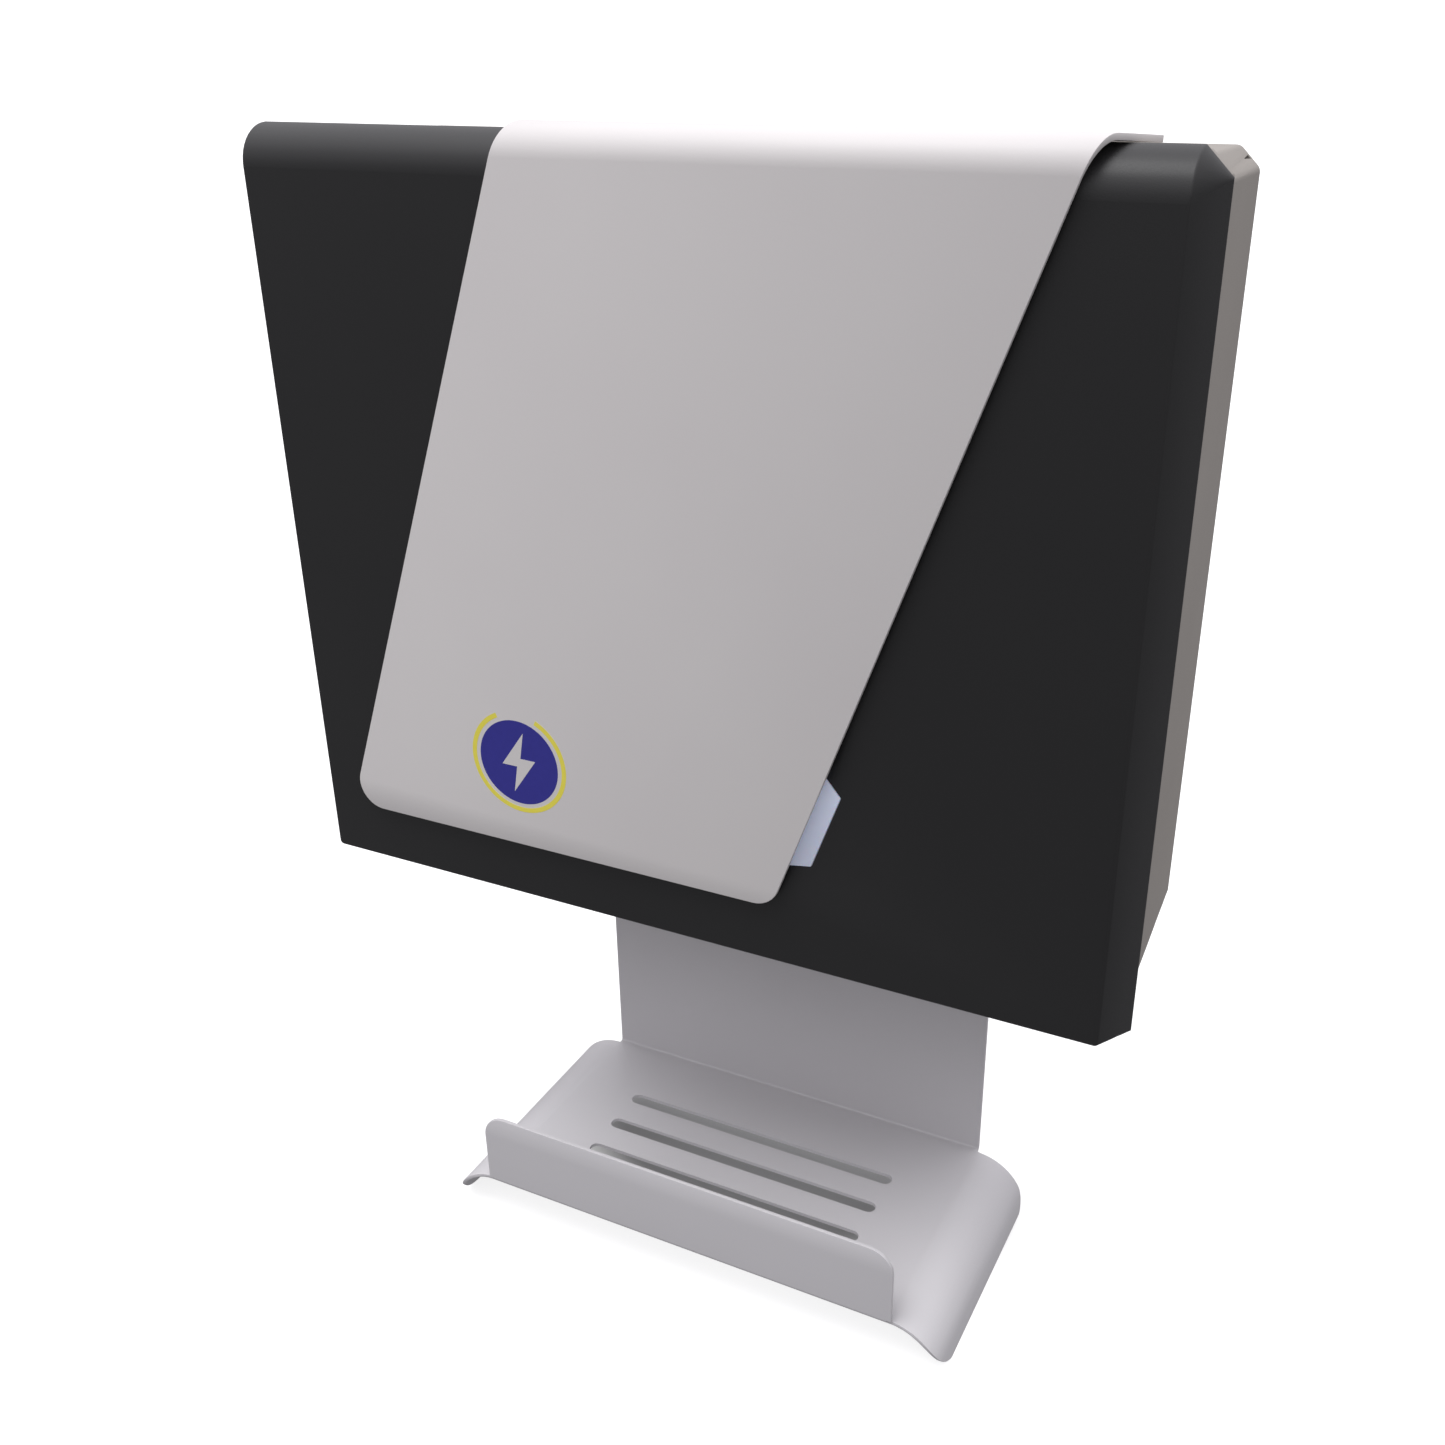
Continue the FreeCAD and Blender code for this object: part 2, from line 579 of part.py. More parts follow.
def make_housing():
    """Moulded housing: drafted sides, a thicker rim for the cover, and a flat, cored back."""
    body = new_body("housing_body")
    loft(body, [housing_outline(body, 0, 0), housing_outline(body, rim_out, housing_spread)])

    def long_edge(edge, low):
        box = edge.BoundBox
        return box.YLength > rim_out.number - 1 and (box.ZMin < 1) == low

    dress(body, "Fillet", housing_corner, lambda edge: long_edge(edge, True))
    dress(body, "Fillet", clip_round, lambda edge: long_edge(edge, False))
    dress(body, "Fillet", rear_round, lambda edge: edge.BoundBox.YMin > -1e-3)
    rim = rectangle(body, "XZ", rim_out, (-rim_half, rim_half), (rim_foot, rim_top))
    pad(body, rim, rim_depth)
    dress(body, "Chamfer", corner_cut - rim_step,
          lambda edge: straight(edge, 1) and edge.BoundBox.ZMin > rim_top.number - 0.1)
    dress(body, "Fillet", rim_corner,
          lambda edge: straight(edge, 1) and near(abs(edge.BoundBox.XMin), rim_half)
          and near(edge.BoundBox.ZMin, rim_foot))
    inside = (-cavity_half, cavity_half)
    pocket(body, rectangle(body, "XZ", cover_back, inside, (mouth_foot, cavity_top)), rim_depth)
    chamber_half = housing_half - housing_wall
    chamber_top = housing_height - housing_wall
    chamber = rectangle(body, "XZ", rim_out, (-chamber_half, chamber_half), (housing_wall, chamber_top))
    pocket(body, chamber, rim_out - back_wall)
    recess_half = plate_half + plate_fit
    recess_top = plate_up + plate_fit
    recess = rectangle(body, "XZ", 0, (-recess_half, recess_half), (-1, recess_top))
    pocket(body, recess, hanger_sheet + plate_seat, reverse=True)
    wall_holes = [(x, z) for x in (-wall_hole_x, wall_hole_x) for z in (wall_hole_low, wall_hole_high)]
    rail_screws = [(x, rail_z) for x in rail_screw_places()]
    pad(body, circles(body, "XZ", back_wall, boss_radius, wall_holes), boss_height)
    pad(body, circles(body, "XZ", back_wall, rail_boss, rail_screws), rail_standoff)
    pocket(body, circles(body, "XZ", 0, wall_hole_radius, wall_holes), back_wall + boss_height, reverse=True)
    pocket(body, circles(body, "XZ", 0, stud_radius + hole_fit, stud_places()), back_wall, reverse=True)
    screw_bore = small_screw + thread_fit
    pocket(body, circles(body, "XZ", back_wall + rail_standoff, screw_bore, rail_screws), rail_standoff)

    groove = seal_ring(cover_back - seal_depth, cover_back)
    through = housing_wall + 2
    entries = [rod(radius, x, out, -1, through) for radius, x, out in (
        (socket_barrel + barrel_fit, socket_x, socket_out),
        (supply_radius + hole_fit, supply_x, entry_out),
        (spare_radius + hole_fit, spare_x, entry_out),
        (vent_radius + hole_fit, vent_x, entry_out))]
    entries += [rod(tapping_radius, x, out, -1, through) for x, out in flange_screw_places()]
    return node("rear_housing", cut(body, groove, *entries, *core_fields(recess_top)))


def core_fields(low):
    """Shallow fields that core out the back above the hanger's recess, with ribs between them."""
    columns, rows = 4, 3
    half = wall_hole_x - boss_radius - core_rib
    top = housing_height - housing_clip - core_rib
    bottom = low + core_rib
    wide = (half * 2 + core_rib) / columns
    high = (top - bottom + core_rib) / rows
    fields = []
    for column in range(columns):
        for row in range(rows):
            left = wide * column - half
            foot = bottom + high * row
            fields.append(block((left, left + wide - core_rib), (term(-1), core_depth),
                                (foot, foot + high - core_rib)))
    return fields


def rail_screw_places():
    return rail_left + 30, rail_left + 250


def stud_places():
    return [(x, z) for x in (-stud_x, stud_x) for z in (stud_low, stud_high)]


def flange_screw_places():
    reach = socket_flange - 5.5
    return [(socket_x + i * reach, socket_out + j * reach) for i in (-1, 1) for j in (-1, 1)]


def seal_ring(low, high):
    """The seal's square ring on the rim's front face, also used to cut its groove."""
    outer = rim_half - seal_inset
    inner = outer - seal_width
    foot = rim_foot + seal_inset
    head = rim_top - seal_inset
    cut_away = [
        block((-outer - 9, -outer + corner_cut), (low - 1, high + 1), (head - corner_cut, head + 9)),
        block((outer - corner_cut, outer + 9), (low - 1, high + 1), (head - corner_cut, head + 9)),
    ]
    ring = cut(block((-outer, outer), (low, high), (foot, head)),
               block((-inner, inner), (low - 1, high + 1), (foot + seal_width, head - seal_width)),
               *cut_away)
    bridges = []
    for side in (-1, 1):
        corner = side * (outer - corner_cut)
        upright = ordered(corner, corner - side * seal_width)
        level = ordered(side * outer, corner - side * seal_width)
        bridges.append(block(upright, (low, high), (head - corner_cut - seal_width, head)))
        bridges.append(block(level, (low, high), (head - corner_cut - seal_width, head - corner_cut)))
    return fuse(ring, *bridges)


# ---------------------------------------------------------------- front cover

def cover_profile(body, across, depth, top):
    """The cover in end view: flat front, flat back, and a top edge rolled to the full depth."""
    outline = new_sketch(body, "YZ", across)
    front = -(cover_back + depth)
    roll_foot = top - depth
    corners = [(front, term(0)), (-cover_back, term(0)), (-cover_back, top), (front, roll_foot)]
    places = [FreeCAD.Vector(a.number, b.number, 0) for a, b in corners]
    for first, second in ((0, 1), (1, 2), (3, 0)):
        outline.addGeometry(Part.LineSegment(places[first], places[second]), False)
    middle = FreeCAD.Vector(-cover_back.number, roll_foot.number, 0)
    circle = Part.Circle(middle, FreeCAD.Vector(0, 0, 1), depth.number)
    outline.addGeometry(Part.ArcOfCircle(circle, math.pi / 2, math.pi), False)
    for kind, *ends in (("Coincident", 0, 2, 1, 1), ("Coincident", 1, 2, 3, 1),
                        ("Tangent", 3, 2, 2, 1), ("Coincident", 2, 2, 0, 1)):
        outline.addConstraint(Sketcher.Constraint(kind, *ends))
    fix_point(outline, 0, 1, corners[0])
    fix_point(outline, 1, 1, corners[1])
    fix_point(outline, 3, 3, (-cover_back, roll_foot))
    outline.addConstraint(Sketcher.Constraint("Vertical", 1))
    dimension(outline, "Radius", (3,), depth)
    return outline


def make_cover():
    """Moulded black cover: bevelled sides, rolled top edge and clipped top corners."""
    body = new_body("cover_body")
    pad(body, cover_profile(body, term(0), cover_depth, box_height), front_half * 2, centred=True)
    for side in (-1, 1):
        front_edge = cover_profile(body, side * front_half, cover_depth, box_height)
        rear_edge = cover_profile(body, side * box_half, bevel_lip, box_height - corner_cut)
        loft(body, [front_edge, rear_edge]).Ruled = True
    dress(body, "Fillet", cover_foot_corner, foot_corner_edge)
    dress(body, "Fillet", cover_ridge, ridge_edge)
    inner_half = box_half - cover_rim
    cavity = rectangle(body, "XZ", cover_back, (-inner_half, inner_half), (mouth_foot, cavity_top))
    pocket(body, cavity, cover_depth - cover_wall, reverse=True)

    window_hole = window_side + window_fit
    tools = [hexagon(window_hole, window_x, cover_inside - 1, window_z, cover_wall + 2, "out", window_turn)]
    tools += [rod(small_screw + hole_fit, x, cover_inside - 1, z, cover_wall + 2, "out")
              for x, z in panel_stud_places()]
    for x in (-bracket_x, bracket_x):
        tools.append(rod(small_screw + hole_fit, x, bracket_out(), -1, mouth_foot + 2))
        tools.append(rod(screw_well, x, bracket_out(), -1, well_depth + 1))
    return node("front_cover", cut(body, *tools))


def foot_corner_edge(edge):
    """True for the lower edge of a side bevel."""
    box = edge.BoundBox
    return box.XLength > 1 and box.YLength > 1 and box.ZMax < 1e-3


def ridge_edge(edge):
    """True for the edges between the cover's front or rolled top and a side bevel."""
    box = edge.BoundBox
    return near(abs(box.XMin), front_half, 1.5) and near(abs(box.XMax), front_half, 1.5) and box.ZLength > 5


def bracket_out():
    return cover_back + cover_depth / 2


def make_cover_fixings():
    """Two brackets that the cover's lower screws enter, and two catches behind its top edge."""
    brackets = []
    screws = []
    catches = []
    lap = 3
    tongue_top = cavity_top - 0.5
    for x in (-bracket_x, bracket_x):
        side = (x - bracket_half, x + bracket_half)
        tab = fuse(
            block(side, (rim_out - lap, cover_inside - 1), (mouth_foot, mouth_foot + bracket_sheet)),
            block(side, (rim_out - lap, rim_out), (housing_wall, mouth_foot)),
            block(side, (rim_out - bracket_foot, rim_out), (housing_wall, housing_wall + bracket_sheet)))
        tapped = rod(small_screw + thread_fit, x, bracket_out(), mouth_foot - 1, bracket_sheet + 2)
        brackets.append(cut(tab, tapped))
        head_foot = well_depth - screw_head
        screws.append(fuse(rod(screw_well - 0.3, x, bracket_out(), head_foot, screw_head),
                           rod(small_screw, x, bracket_out(), well_depth, mouth_foot + bracket_sheet - well_depth)))
        catch_side = (x - catch_half, x + catch_half)
        catch_back = rim_out - 12
        catches.append(fuse(
            block(catch_side, (catch_back, cover_inside - 1.5), (tongue_top - catch_sheet, tongue_top)),
            block(catch_side, (catch_back, catch_back + catch_sheet),
                  (tongue_top, housing_height - housing_wall))))
    node("cover_brackets", group(*brackets))
    node("cover_screws", group(*screws))
    node("cover_catches", group(*catches))
    node("housing_gasket", seal_ring(cover_back - seal_depth, cover_back))


# ---------------------------------------------------------------- slanted panel

def panel_edge(length):
    """Sideways place of the panel's left edge at a length up the flattened sheet."""
    return panel_left + panel_slope * length


def make_panel():
    """One sheet, cut on the slant, that is folded over the cover's top edge a little past square."""
    body = new_body("panel_body")
    inner_bend = panel_bend - panel_sheet
    bend_out = panel_front - panel_bend
    lean = sine(panel_overbend) / cosine(panel_overbend)
    bend_foot = (box_height + panel_top_gap + lean * (bend_out - cover_back)
                 - inner_bend / cosine(panel_overbend))
    face = bend_foot - panel_foot
    turned = 90 + panel_overbend
    bend_run = arc_length(panel_bend, turned)
    pad(body, polygon(body, "XZ", panel_back, [
        (panel_edge(0), panel_foot), (panel_edge(0) + panel_width, panel_foot),
        (panel_edge(face) + panel_width, bend_foot), (panel_edge(face), bend_foot)]), panel_sheet)
    dress(body, "Fillet", panel_corner,
          lambda edge: straight(edge, 1) and near(edge.BoundBox.ZMin, panel_foot))

    def section(run, turn, back, rise):
        left = panel_edge(face + run)
        return rectangle(body, "XY", 0, (left, left + panel_width), (inner_bend, panel_bend),
                         turn=180 - turn.number, shift=(back - bend_out, bend_foot + rise))

    steps = 6
    loft(body, [section(bend_run * (step / steps), turned * (step / steps), term(0), term(0))
                for step in range(steps + 1)])
    loft(body, [section(bend_run, turned, term(0), term(0)),
                section(bend_run + panel_flange, turned, panel_flange * cosine(panel_overbend),
                        -(panel_flange * sine(panel_overbend)))])
    node("front_panel", body)


def panel_stud_places():
    places = []
    for height, sides in ((panel_stud_low, (0,)), (panel_stud_mid, (0, 1)), (panel_stud_high, (0, 1))):
        left = panel_edge(height - panel_foot) + panel_stud_inset
        span = panel_width - panel_stud_inset * 2
        places += [(left + span * side, height) for side in sides]
    return places


def make_panel_fixings():
    """Studs welded to the panel, with a spacer outside the cover and a nut inside it."""
    stud_back = cover_inside - nut_height - 2
    nuts, studs, spacers = [], [], []
    for x, z in panel_stud_places():
        studs.append(rod(small_screw, x, stud_back, z, panel_back - stud_back, "out"))
        spacers.append(tube(spacer_radius, small_screw + thread_fit, x, front_out, z, panel_gap, "out"))
        nuts.append(hex_nut(small_screw, x, cover_inside - nut_height, z, nut_height, "out"))
    node("panel_studs", group(*studs))
    node("panel_spacers", group(*spacers))
    node("panel_nuts", group(*nuts))


def hex_nut(radius, x, out, z, length, along="up"):
    return cut(hexagon(radius * nut_corner, x, out, z, length, along),
               rod(radius + thread_fit, x, out, z, length, along))


# ---------------------------------------------------------------- light window

def window_corner(index, radius):
    """A place round the window's centre, on the line to its corner with that index."""
    angle = math.radians(window_turn.number + 60 * index)
    return window_x + radius * math.cos(angle), window_z + radius * math.sin(angle)


def make_window():
    """Opal window with its flange, the light box behind it, and the board with its LEDs."""
    lamp_side = window_side + window_lap
    lamp_front = cover_inside - flange_sheet
    lamp_back = lamp_front - lamp_depth
    ear_back = lamp_front - ear_sheet
    node("light_window", fuse(
        hexagon(window_side, window_x, cover_inside, window_z, cover_wall, "out", window_turn),
        hexagon(lamp_side, window_x, lamp_front, window_z, flange_sheet, "out", window_turn)))
    ears = []
    screws = []
    bridge_half = ear_radius / 2
    for index in (1, 3, 5):
        x, z = window_corner(index, lamp_side + ear_radius)
        inner_x, inner_z = window_corner(index, lamp_side - 1)
        ears.append(tube(ear_radius, ear_bore, x, ear_back, z, ear_sheet + flange_sheet, "out"))
        ears.append(block((inner_x - bridge_half, inner_x + bridge_half), (ear_back, lamp_front),
                          (inner_z - bridge_half, inner_z + bridge_half)))
        screws.append(fuse(rod(ear_bore + 1.2, x, ear_back - 2, z, 2, "out"),
                           rod(ear_bore - 0.1, x, ear_back, z, ear_sheet + flange_sheet, "out")))
    shell = cut(fuse(hexagon(lamp_side, window_x, lamp_back, window_z, lamp_depth, "out", window_turn), *ears),
                hexagon(window_side, window_x, lamp_back, window_z, lamp_depth, "out", window_turn))
    node("light_box", shell)
    node("light_box_screws", group(*screws))
    node("light_board", hexagon(lamp_side, window_x, lamp_back - board_sheet, window_z, board_sheet,
                                "out", window_turn))
    spots = [(window_x, window_z)] + [window_corner(index, window_side * 0.55) for index in range(6)]
    node("light_leds", group(*[block((x - led_half, x + led_half), (lamp_back, lamp_back + led_height),
                                     (z - led_half, z + led_half)) for x, z in spots]))


# ---------------------------------------------------------------- cable hanger

def make_hanger():
    """Bent sheet: back plate, slotted saddle, raised lip, and wings that curl down."""
    body = new_body("hanger_body")
    top = -saddle_drop
    under = top - hanger_sheet
    outer = saddle_depth
    inner = saddle_depth - hanger_sheet
    pad(body, rectangle(body, "YZ", 0, (-hanger_sheet, term(0)), (under, plate_up)), plate_half * 2, centred=True)
    pad(body, rectangle(body, "YZ", 0, (-outer, term(0)), (under, top)), plate_half * 2, centred=True)
    pad(body, rectangle(body, "YZ", 0, (-outer, -inner), (under, top + lip_height)), plate_half * 2, centred=True)
    dress(body, "Fillet", fold_radius, lambda edge: straight(edge, 0) and near(edge.BoundBox.ZMin, top)
          and (near(edge.BoundBox.YMin, -inner) or near(edge.BoundBox.YMin, -hanger_sheet)))
    dress(body, "Fillet", fold_radius + hanger_sheet,
          lambda edge: straight(edge, 0) and near(edge.BoundBox.ZMin, under)
          and (near(edge.BoundBox.YMin, -outer) or near(edge.BoundBox.YMax, 0)))
    lip_span = (top + fold_radius, top + lip_height)
    pad(body, rectangle(body, "YZ", 0, (-outer, -inner), lip_span), lip_half * 2, centred=True)
    dress(body, "Fillet", lip_corner,
          lambda edge: straight(edge, 1) and near(edge.BoundBox.ZMin, top + lip_height))
    for side in (-1, 1):
        wing_profile(body, side, top)
    for index in range(3):
        centre = (term(0), -(slot_first + slot_pitch * index))
        pocket(body, slot(body, "XY", top, centre, slot_length, slot_width), hanger_sheet)
    corners = [wing_corner(side, *corner) for side in (-1, 1)
               for corner in ((wing_front, -1, wing_front_corner), (wing_rear, 1, wing_rear_corner))]
    node("cable_hanger", cut(body, *corners))
    places = stud_places()
    node("hanger_studs", group(*[rod(stud_radius, x, hanger_sheet, z, stud_length, "out") for x, z in places]))
    node("hanger_nuts", group(*[hex_nut(stud_radius, x, back_wall, z, nut_height, "out") for x, z in places]))


def wing_profile(body, side, top):
    """A wing in end view: quarter roll from the saddle's edge, then a short straight end."""
    sketch = new_sketch(body, "XZ", wing_rear)
    middle_x, middle_z = plate_half * side, top - wing_radius
    normal = FreeCAD.Vector(0, 0, 1)
    radii = (wing_radius, wing_radius - hanger_sheet)
    tips = []
    angle = wing_angle.number
    for radius in radii:
        circle = Part.Circle(FreeCAD.Vector(middle_x.number, middle_z.number, 0), normal, radius.number)
        span = (90 - angle, 90) if side > 0 else (90, 90 + angle)
        sketch.addGeometry(Part.ArcOfCircle(circle, *[math.radians(value) for value in span]), False)
        across = middle_x + side * (radius * sine(wing_angle))
        down = middle_z + radius * cosine(wing_angle)
        tips.append((across, down))
        tips.append((across + side * (wing_end * cosine(wing_angle)), down - wing_end * sine(wing_angle)))
    lines = [(tips[0], tips[1]), (tips[1], tips[3]), (tips[3], tips[2]),
             ((middle_x, middle_z + radii[1]), (middle_x, middle_z + radii[0]))]
    for ends in lines:
        sketch.addGeometry(Part.LineSegment(*[FreeCAD.Vector(a.number, b.number, 0) for a, b in ends]), False)
    root_end, tip_end = (2, 1) if side > 0 else (1, 2)
    links = [(0, tip_end, 2, 1), (2, 2, 3, 1), (3, 2, 4, 1), (4, 2, 1, tip_end), (1, root_end, 5, 1),
             (5, 2, 0, root_end)]
    for link in links:
        sketch.addConstraint(Sketcher.Constraint("Coincident", *link))
    for index, radius in enumerate(radii):
        fix_point(sketch, index, 3, (middle_x, middle_z))
        dimension(sketch, "Radius", (index,), radius)
    fix_point(sketch, 3, 1, tips[1])
    fix_point(sketch, 4, 1, tips[3])
    dimension(sketch, "DistanceY", (-1, 1, 2, 1), tips[0][1])
    dimension(sketch, "DistanceY", (-1, 1, 4, 2), tips[2][1])
    dimension(sketch, "DistanceX", (-1, 1, 5, 1), middle_x)
    dimension(sketch, "DistanceX", (-1, 1, 5, 2), middle_x)
    pad(body, sketch, wing_front - wing_rear)


def wing_corner(side, edge_out, inward, radius):
    """What is cut off a wing's lower corner to leave it round."""
    low = -saddle_drop - wing_radius + (wing_radius - hanger_sheet) * cosine(wing_angle) - wing_end * sine(wing_angle)
    across = ordered(side * plate_half, side * (plate_half + wing_radius * 2))
    centre_out = edge_out + inward * radius
    return cut(block(across, ordered(edge_out - inward, centre_out), (low - 1, low + radius)),
               rod(radius, across[0], centre_out, low + radius, wing_radius * 2, "right"))


make_housing()
make_cover()
make_cover_fixings()
make_panel()
make_panel_fixings()
make_window()
make_hanger()


# ---------------------------------------------------------------- switchgear

def device(left, modules):
    """A rail-mounted device: square shoulders with a raised nose in the middle."""
    side = (left, left + module * modules)
    return fuse(
        block(side, (device_back, shoulder_out), (rail_z - device_height / 2, rail_z + device_height / 2)),
        block(side, (shoulder_out, nose_out), (rail_z - nose_height / 2, rail_z + nose_height / 2)))


def make_rail(right):
    """Top-hat mounting rail on the housing's two bosses, with its screws."""
    back = back_wall + rail_standoff
    front = back + rail_depth
    inner = rail_height / 2 - rail_lip
    long = (rail_left, right)
    pieces = [block(long, (back, back + rail_sheet), (rail_z - inner, rail_z + inner))]
    for side in (-1, 1):
        leg = ordered(side * inner, side * (inner + rail_sheet))
        lip = ordered(side * inner, side * (rail_height / 2))
        pieces.append(block(long, (back, front), [rail_z + value for value in leg]))
        pieces.append(block(long, (front - rail_sheet, front), [rail_z + value for value in lip]))
    holes = [rod(small_screw + hole_fit, x, back, rail_z, rail_sheet, "out") for x in rail_screw_places()]
    node("din_rail", cut(fuse(*pieces), *holes))
    node("rail_screws", group(*[
        fuse(rod(small_screw * 2, x, back + rail_sheet, rail_z, 2.5, "out"),
             rod(small_screw, x, back_wall + 1, rail_z, rail_standoff, "out"))
        for x in rail_screw_places()]))


def make_breaker(left):
    """Residual-current breaker with its switch lever and test button."""
    lever_x = left + lever_place
    axis_out = nose_out - lever_sink
    slot_half = lever_width / 2 + lever_play
    axle_half = slot_half + axle_reach
    button_x = left + button_place
    button_z = rail_z + button_rise
    arm_half = lever_sheet / 2
    node("rccb_body", cut(
        device(left, 4),
        block((lever_x - slot_half, lever_x + slot_half), (axis_out - lever_hub * 1.5, nose_out + 1),
              (rail_z - lever_hub * 3, rail_z + lever_hub * 3)),
        rod(lever_axle + running_fit, lever_x - axle_half - 1, axis_out, rail_z, axle_half * 2 + 2, "right"),
        rod(button_radius + running_fit, button_x, nose_out - 8, button_z, 9, "out")))
    arm = doc.addObject("Part::Box", "arm")
    bind(arm, "Length", lever_width)
    bind(arm, "Width", lever_reach)
    bind(arm, "Height", lever_sheet)
    tilt = FreeCAD.Rotation(FreeCAD.Vector(1, 0, 0), -lever_tilt.number)
    arm_z = rail_z + lever_reach * sine(lever_tilt) - arm_half * cosine(lever_tilt)
    arm_out = axis_out + lever_reach * cosine(lever_tilt) + arm_half * sine(lever_tilt)
    put(arm, lever_x - lever_width / 2, arm_out, arm_z, tilt)
    node("rccb_lever", fuse(
        rod(lever_hub, lever_x - lever_width / 2, axis_out, rail_z, lever_width, "right"),
        rod(lever_axle, lever_x - axle_half, axis_out, rail_z, axle_half * 2, "right"),
        arm))
    node("rccb_test_button", rod(button_radius, button_x, nose_out - 5, button_z, 7, "out"))


def make_contactor(left):
    """Contactor with the small flag that shows whether it has pulled in."""
    middle = left + module * 1.5
    flag_half = flag_width / 2
    slot_half = flag_half + slide_fit
    flag_foot = rail_z + flag_rise
    flag_top = flag_foot + flag_height
    node("contactor_body", cut(device(left, 3), block(
        (middle - slot_half, middle + slot_half), (nose_out - 9, nose_out + 1),
        (flag_foot - slide_fit, flag_top + slide_fit))))
    node("contactor_flag", block((middle - flag_half, middle + flag_half), (nose_out - 6, nose_out + 1.5),
                                 (flag_foot, flag_top)))


def make_controller(left):
    """Charge controller with a row of plug-in terminals along its foot and its head."""
    modules = 6
    node("charge_controller", device(left, modules))
    rows = []
    for foot in (rail_z - device_height / 2 + 4, rail_z + nose_height / 2 + 4):
        for index in range(10):
            x = left + 4 + plug_pitch * index
            middle = x + (plug_pitch - plug_gap) / 2
            rows.append(cut(
                block((x, x + plug_pitch - plug_gap), (shoulder_out, shoulder_out + 9), (foot, foot + 12)),
                rod(plug_bore, middle, shoulder_out + 6, foot + 6, 4, "out")))
    node("controller_terminals", group(*rows))
    return left + module * modules


def make_terminals(left):
    """Five supply terminals, the last of them for the protective conductor."""
    blocks = []
    for index in range(5):
        x = left + terminal_pitch * index
        width = terminal_pitch - terminal_gap
        clamp = block((x, x + width), (device_back, device_back + terminal_depth),
                      (rail_z - terminal_half, rail_z + terminal_half))
        wells = [rod(terminal_bore, x + width / 2, device_back + terminal_depth - 6, rail_z + z, 7, "out")
                 for z in (-15, 15)]
        blocks.append(cut(clamp, *wells))
    node("supply_terminals", group(*blocks))
    return left + terminal_pitch * 5


def make_switchgear():
    """The rail with its devices, from left to right, between two end clamps."""
    first = rail_left + clamp_width + clamp_space * 2
    contactor_left = first + module * 4 + device_gap
    controller_left = contactor_left + module * 3 + device_gap
    make_breaker(first)
    make_contactor(contactor_left)
    controller_right = make_controller(controller_left)
    terminals_right = make_terminals(controller_right + device_gap)
    make_rail(terminals_right + clamp_width + clamp_space * 2)
    ends = [block((x, x + clamp_width), (device_back, device_back + 30), (rail_z - 22, rail_z + 22))
            for x in (rail_left + clamp_space, terminals_right + clamp_space)]
    node("end_clamps", group(*ends))


def make_earth_bar():
    """Brass earth bar on two insulating posts above the supply entry."""
    left, right = supply_x - earth_half, supply_x + earth_half
    back = back_wall + earth_post
    front = back + earth_bar_depth
    posts = [rod(5, x, back_wall, earth_z, earth_post, "out") for x in (left + 7, right - 7)]
    node("earth_bar_posts", group(*posts))
    places = [left + 18 + 8 * index for index in range(4)]
    bores = [rod(earth_screw + thread_fit, x, back + 3, earth_z, earth_bar_depth, "out") for x in places]
    node("earth_bar", cut(block((left, right), (back, front), (earth_z - 5, earth_z + 5)), *bores))
    node("earth_bar_screws", group(*[
        fuse(rod(earth_screw, x, front - 4, earth_z, 4, "out"),
             rod(earth_screw + 1.3, x, front, earth_z, 2.2, "out")) for x in places]))


def make_leakage_sensor():
    """Ring core that the outgoing conductors pass through, on a foot from the back wall."""
    foot = block((socket_x - sensor_bore, socket_x + sensor_bore), (back_wall, socket_out - sensor_bore - 3),
                 (sensor_z, sensor_z + sensor_height))
    ring = fuse(foot, rod(sensor_radius, socket_x, socket_out, sensor_z, sensor_height))
    node("leakage_sensor", cut(ring, rod(sensor_bore, socket_x, socket_out, sensor_z, sensor_height)))


make_switchgear()
make_earth_bar()
make_leakage_sensor()


# ---------------------------------------------------------------- outlet socket

def contact_places():
    """Seven contacts: earth in the middle, four power contacts and two signal contacts."""
    power = [(0, 0)] + [(math.cos(math.radians(a)), math.sin(math.radians(a))) for a in (0, 180, 235, 305)]
    signal = [(math.cos(math.radians(a)), math.sin(math.radians(a))) for a in (65, 115)]
    made = []
    for spots, radius in ((power, contact_radius), (signal, signal_radius)):
        made += [(socket_x + contact_ring * a, socket_out - contact_ring * b, radius) for a, b in spots]
    return made


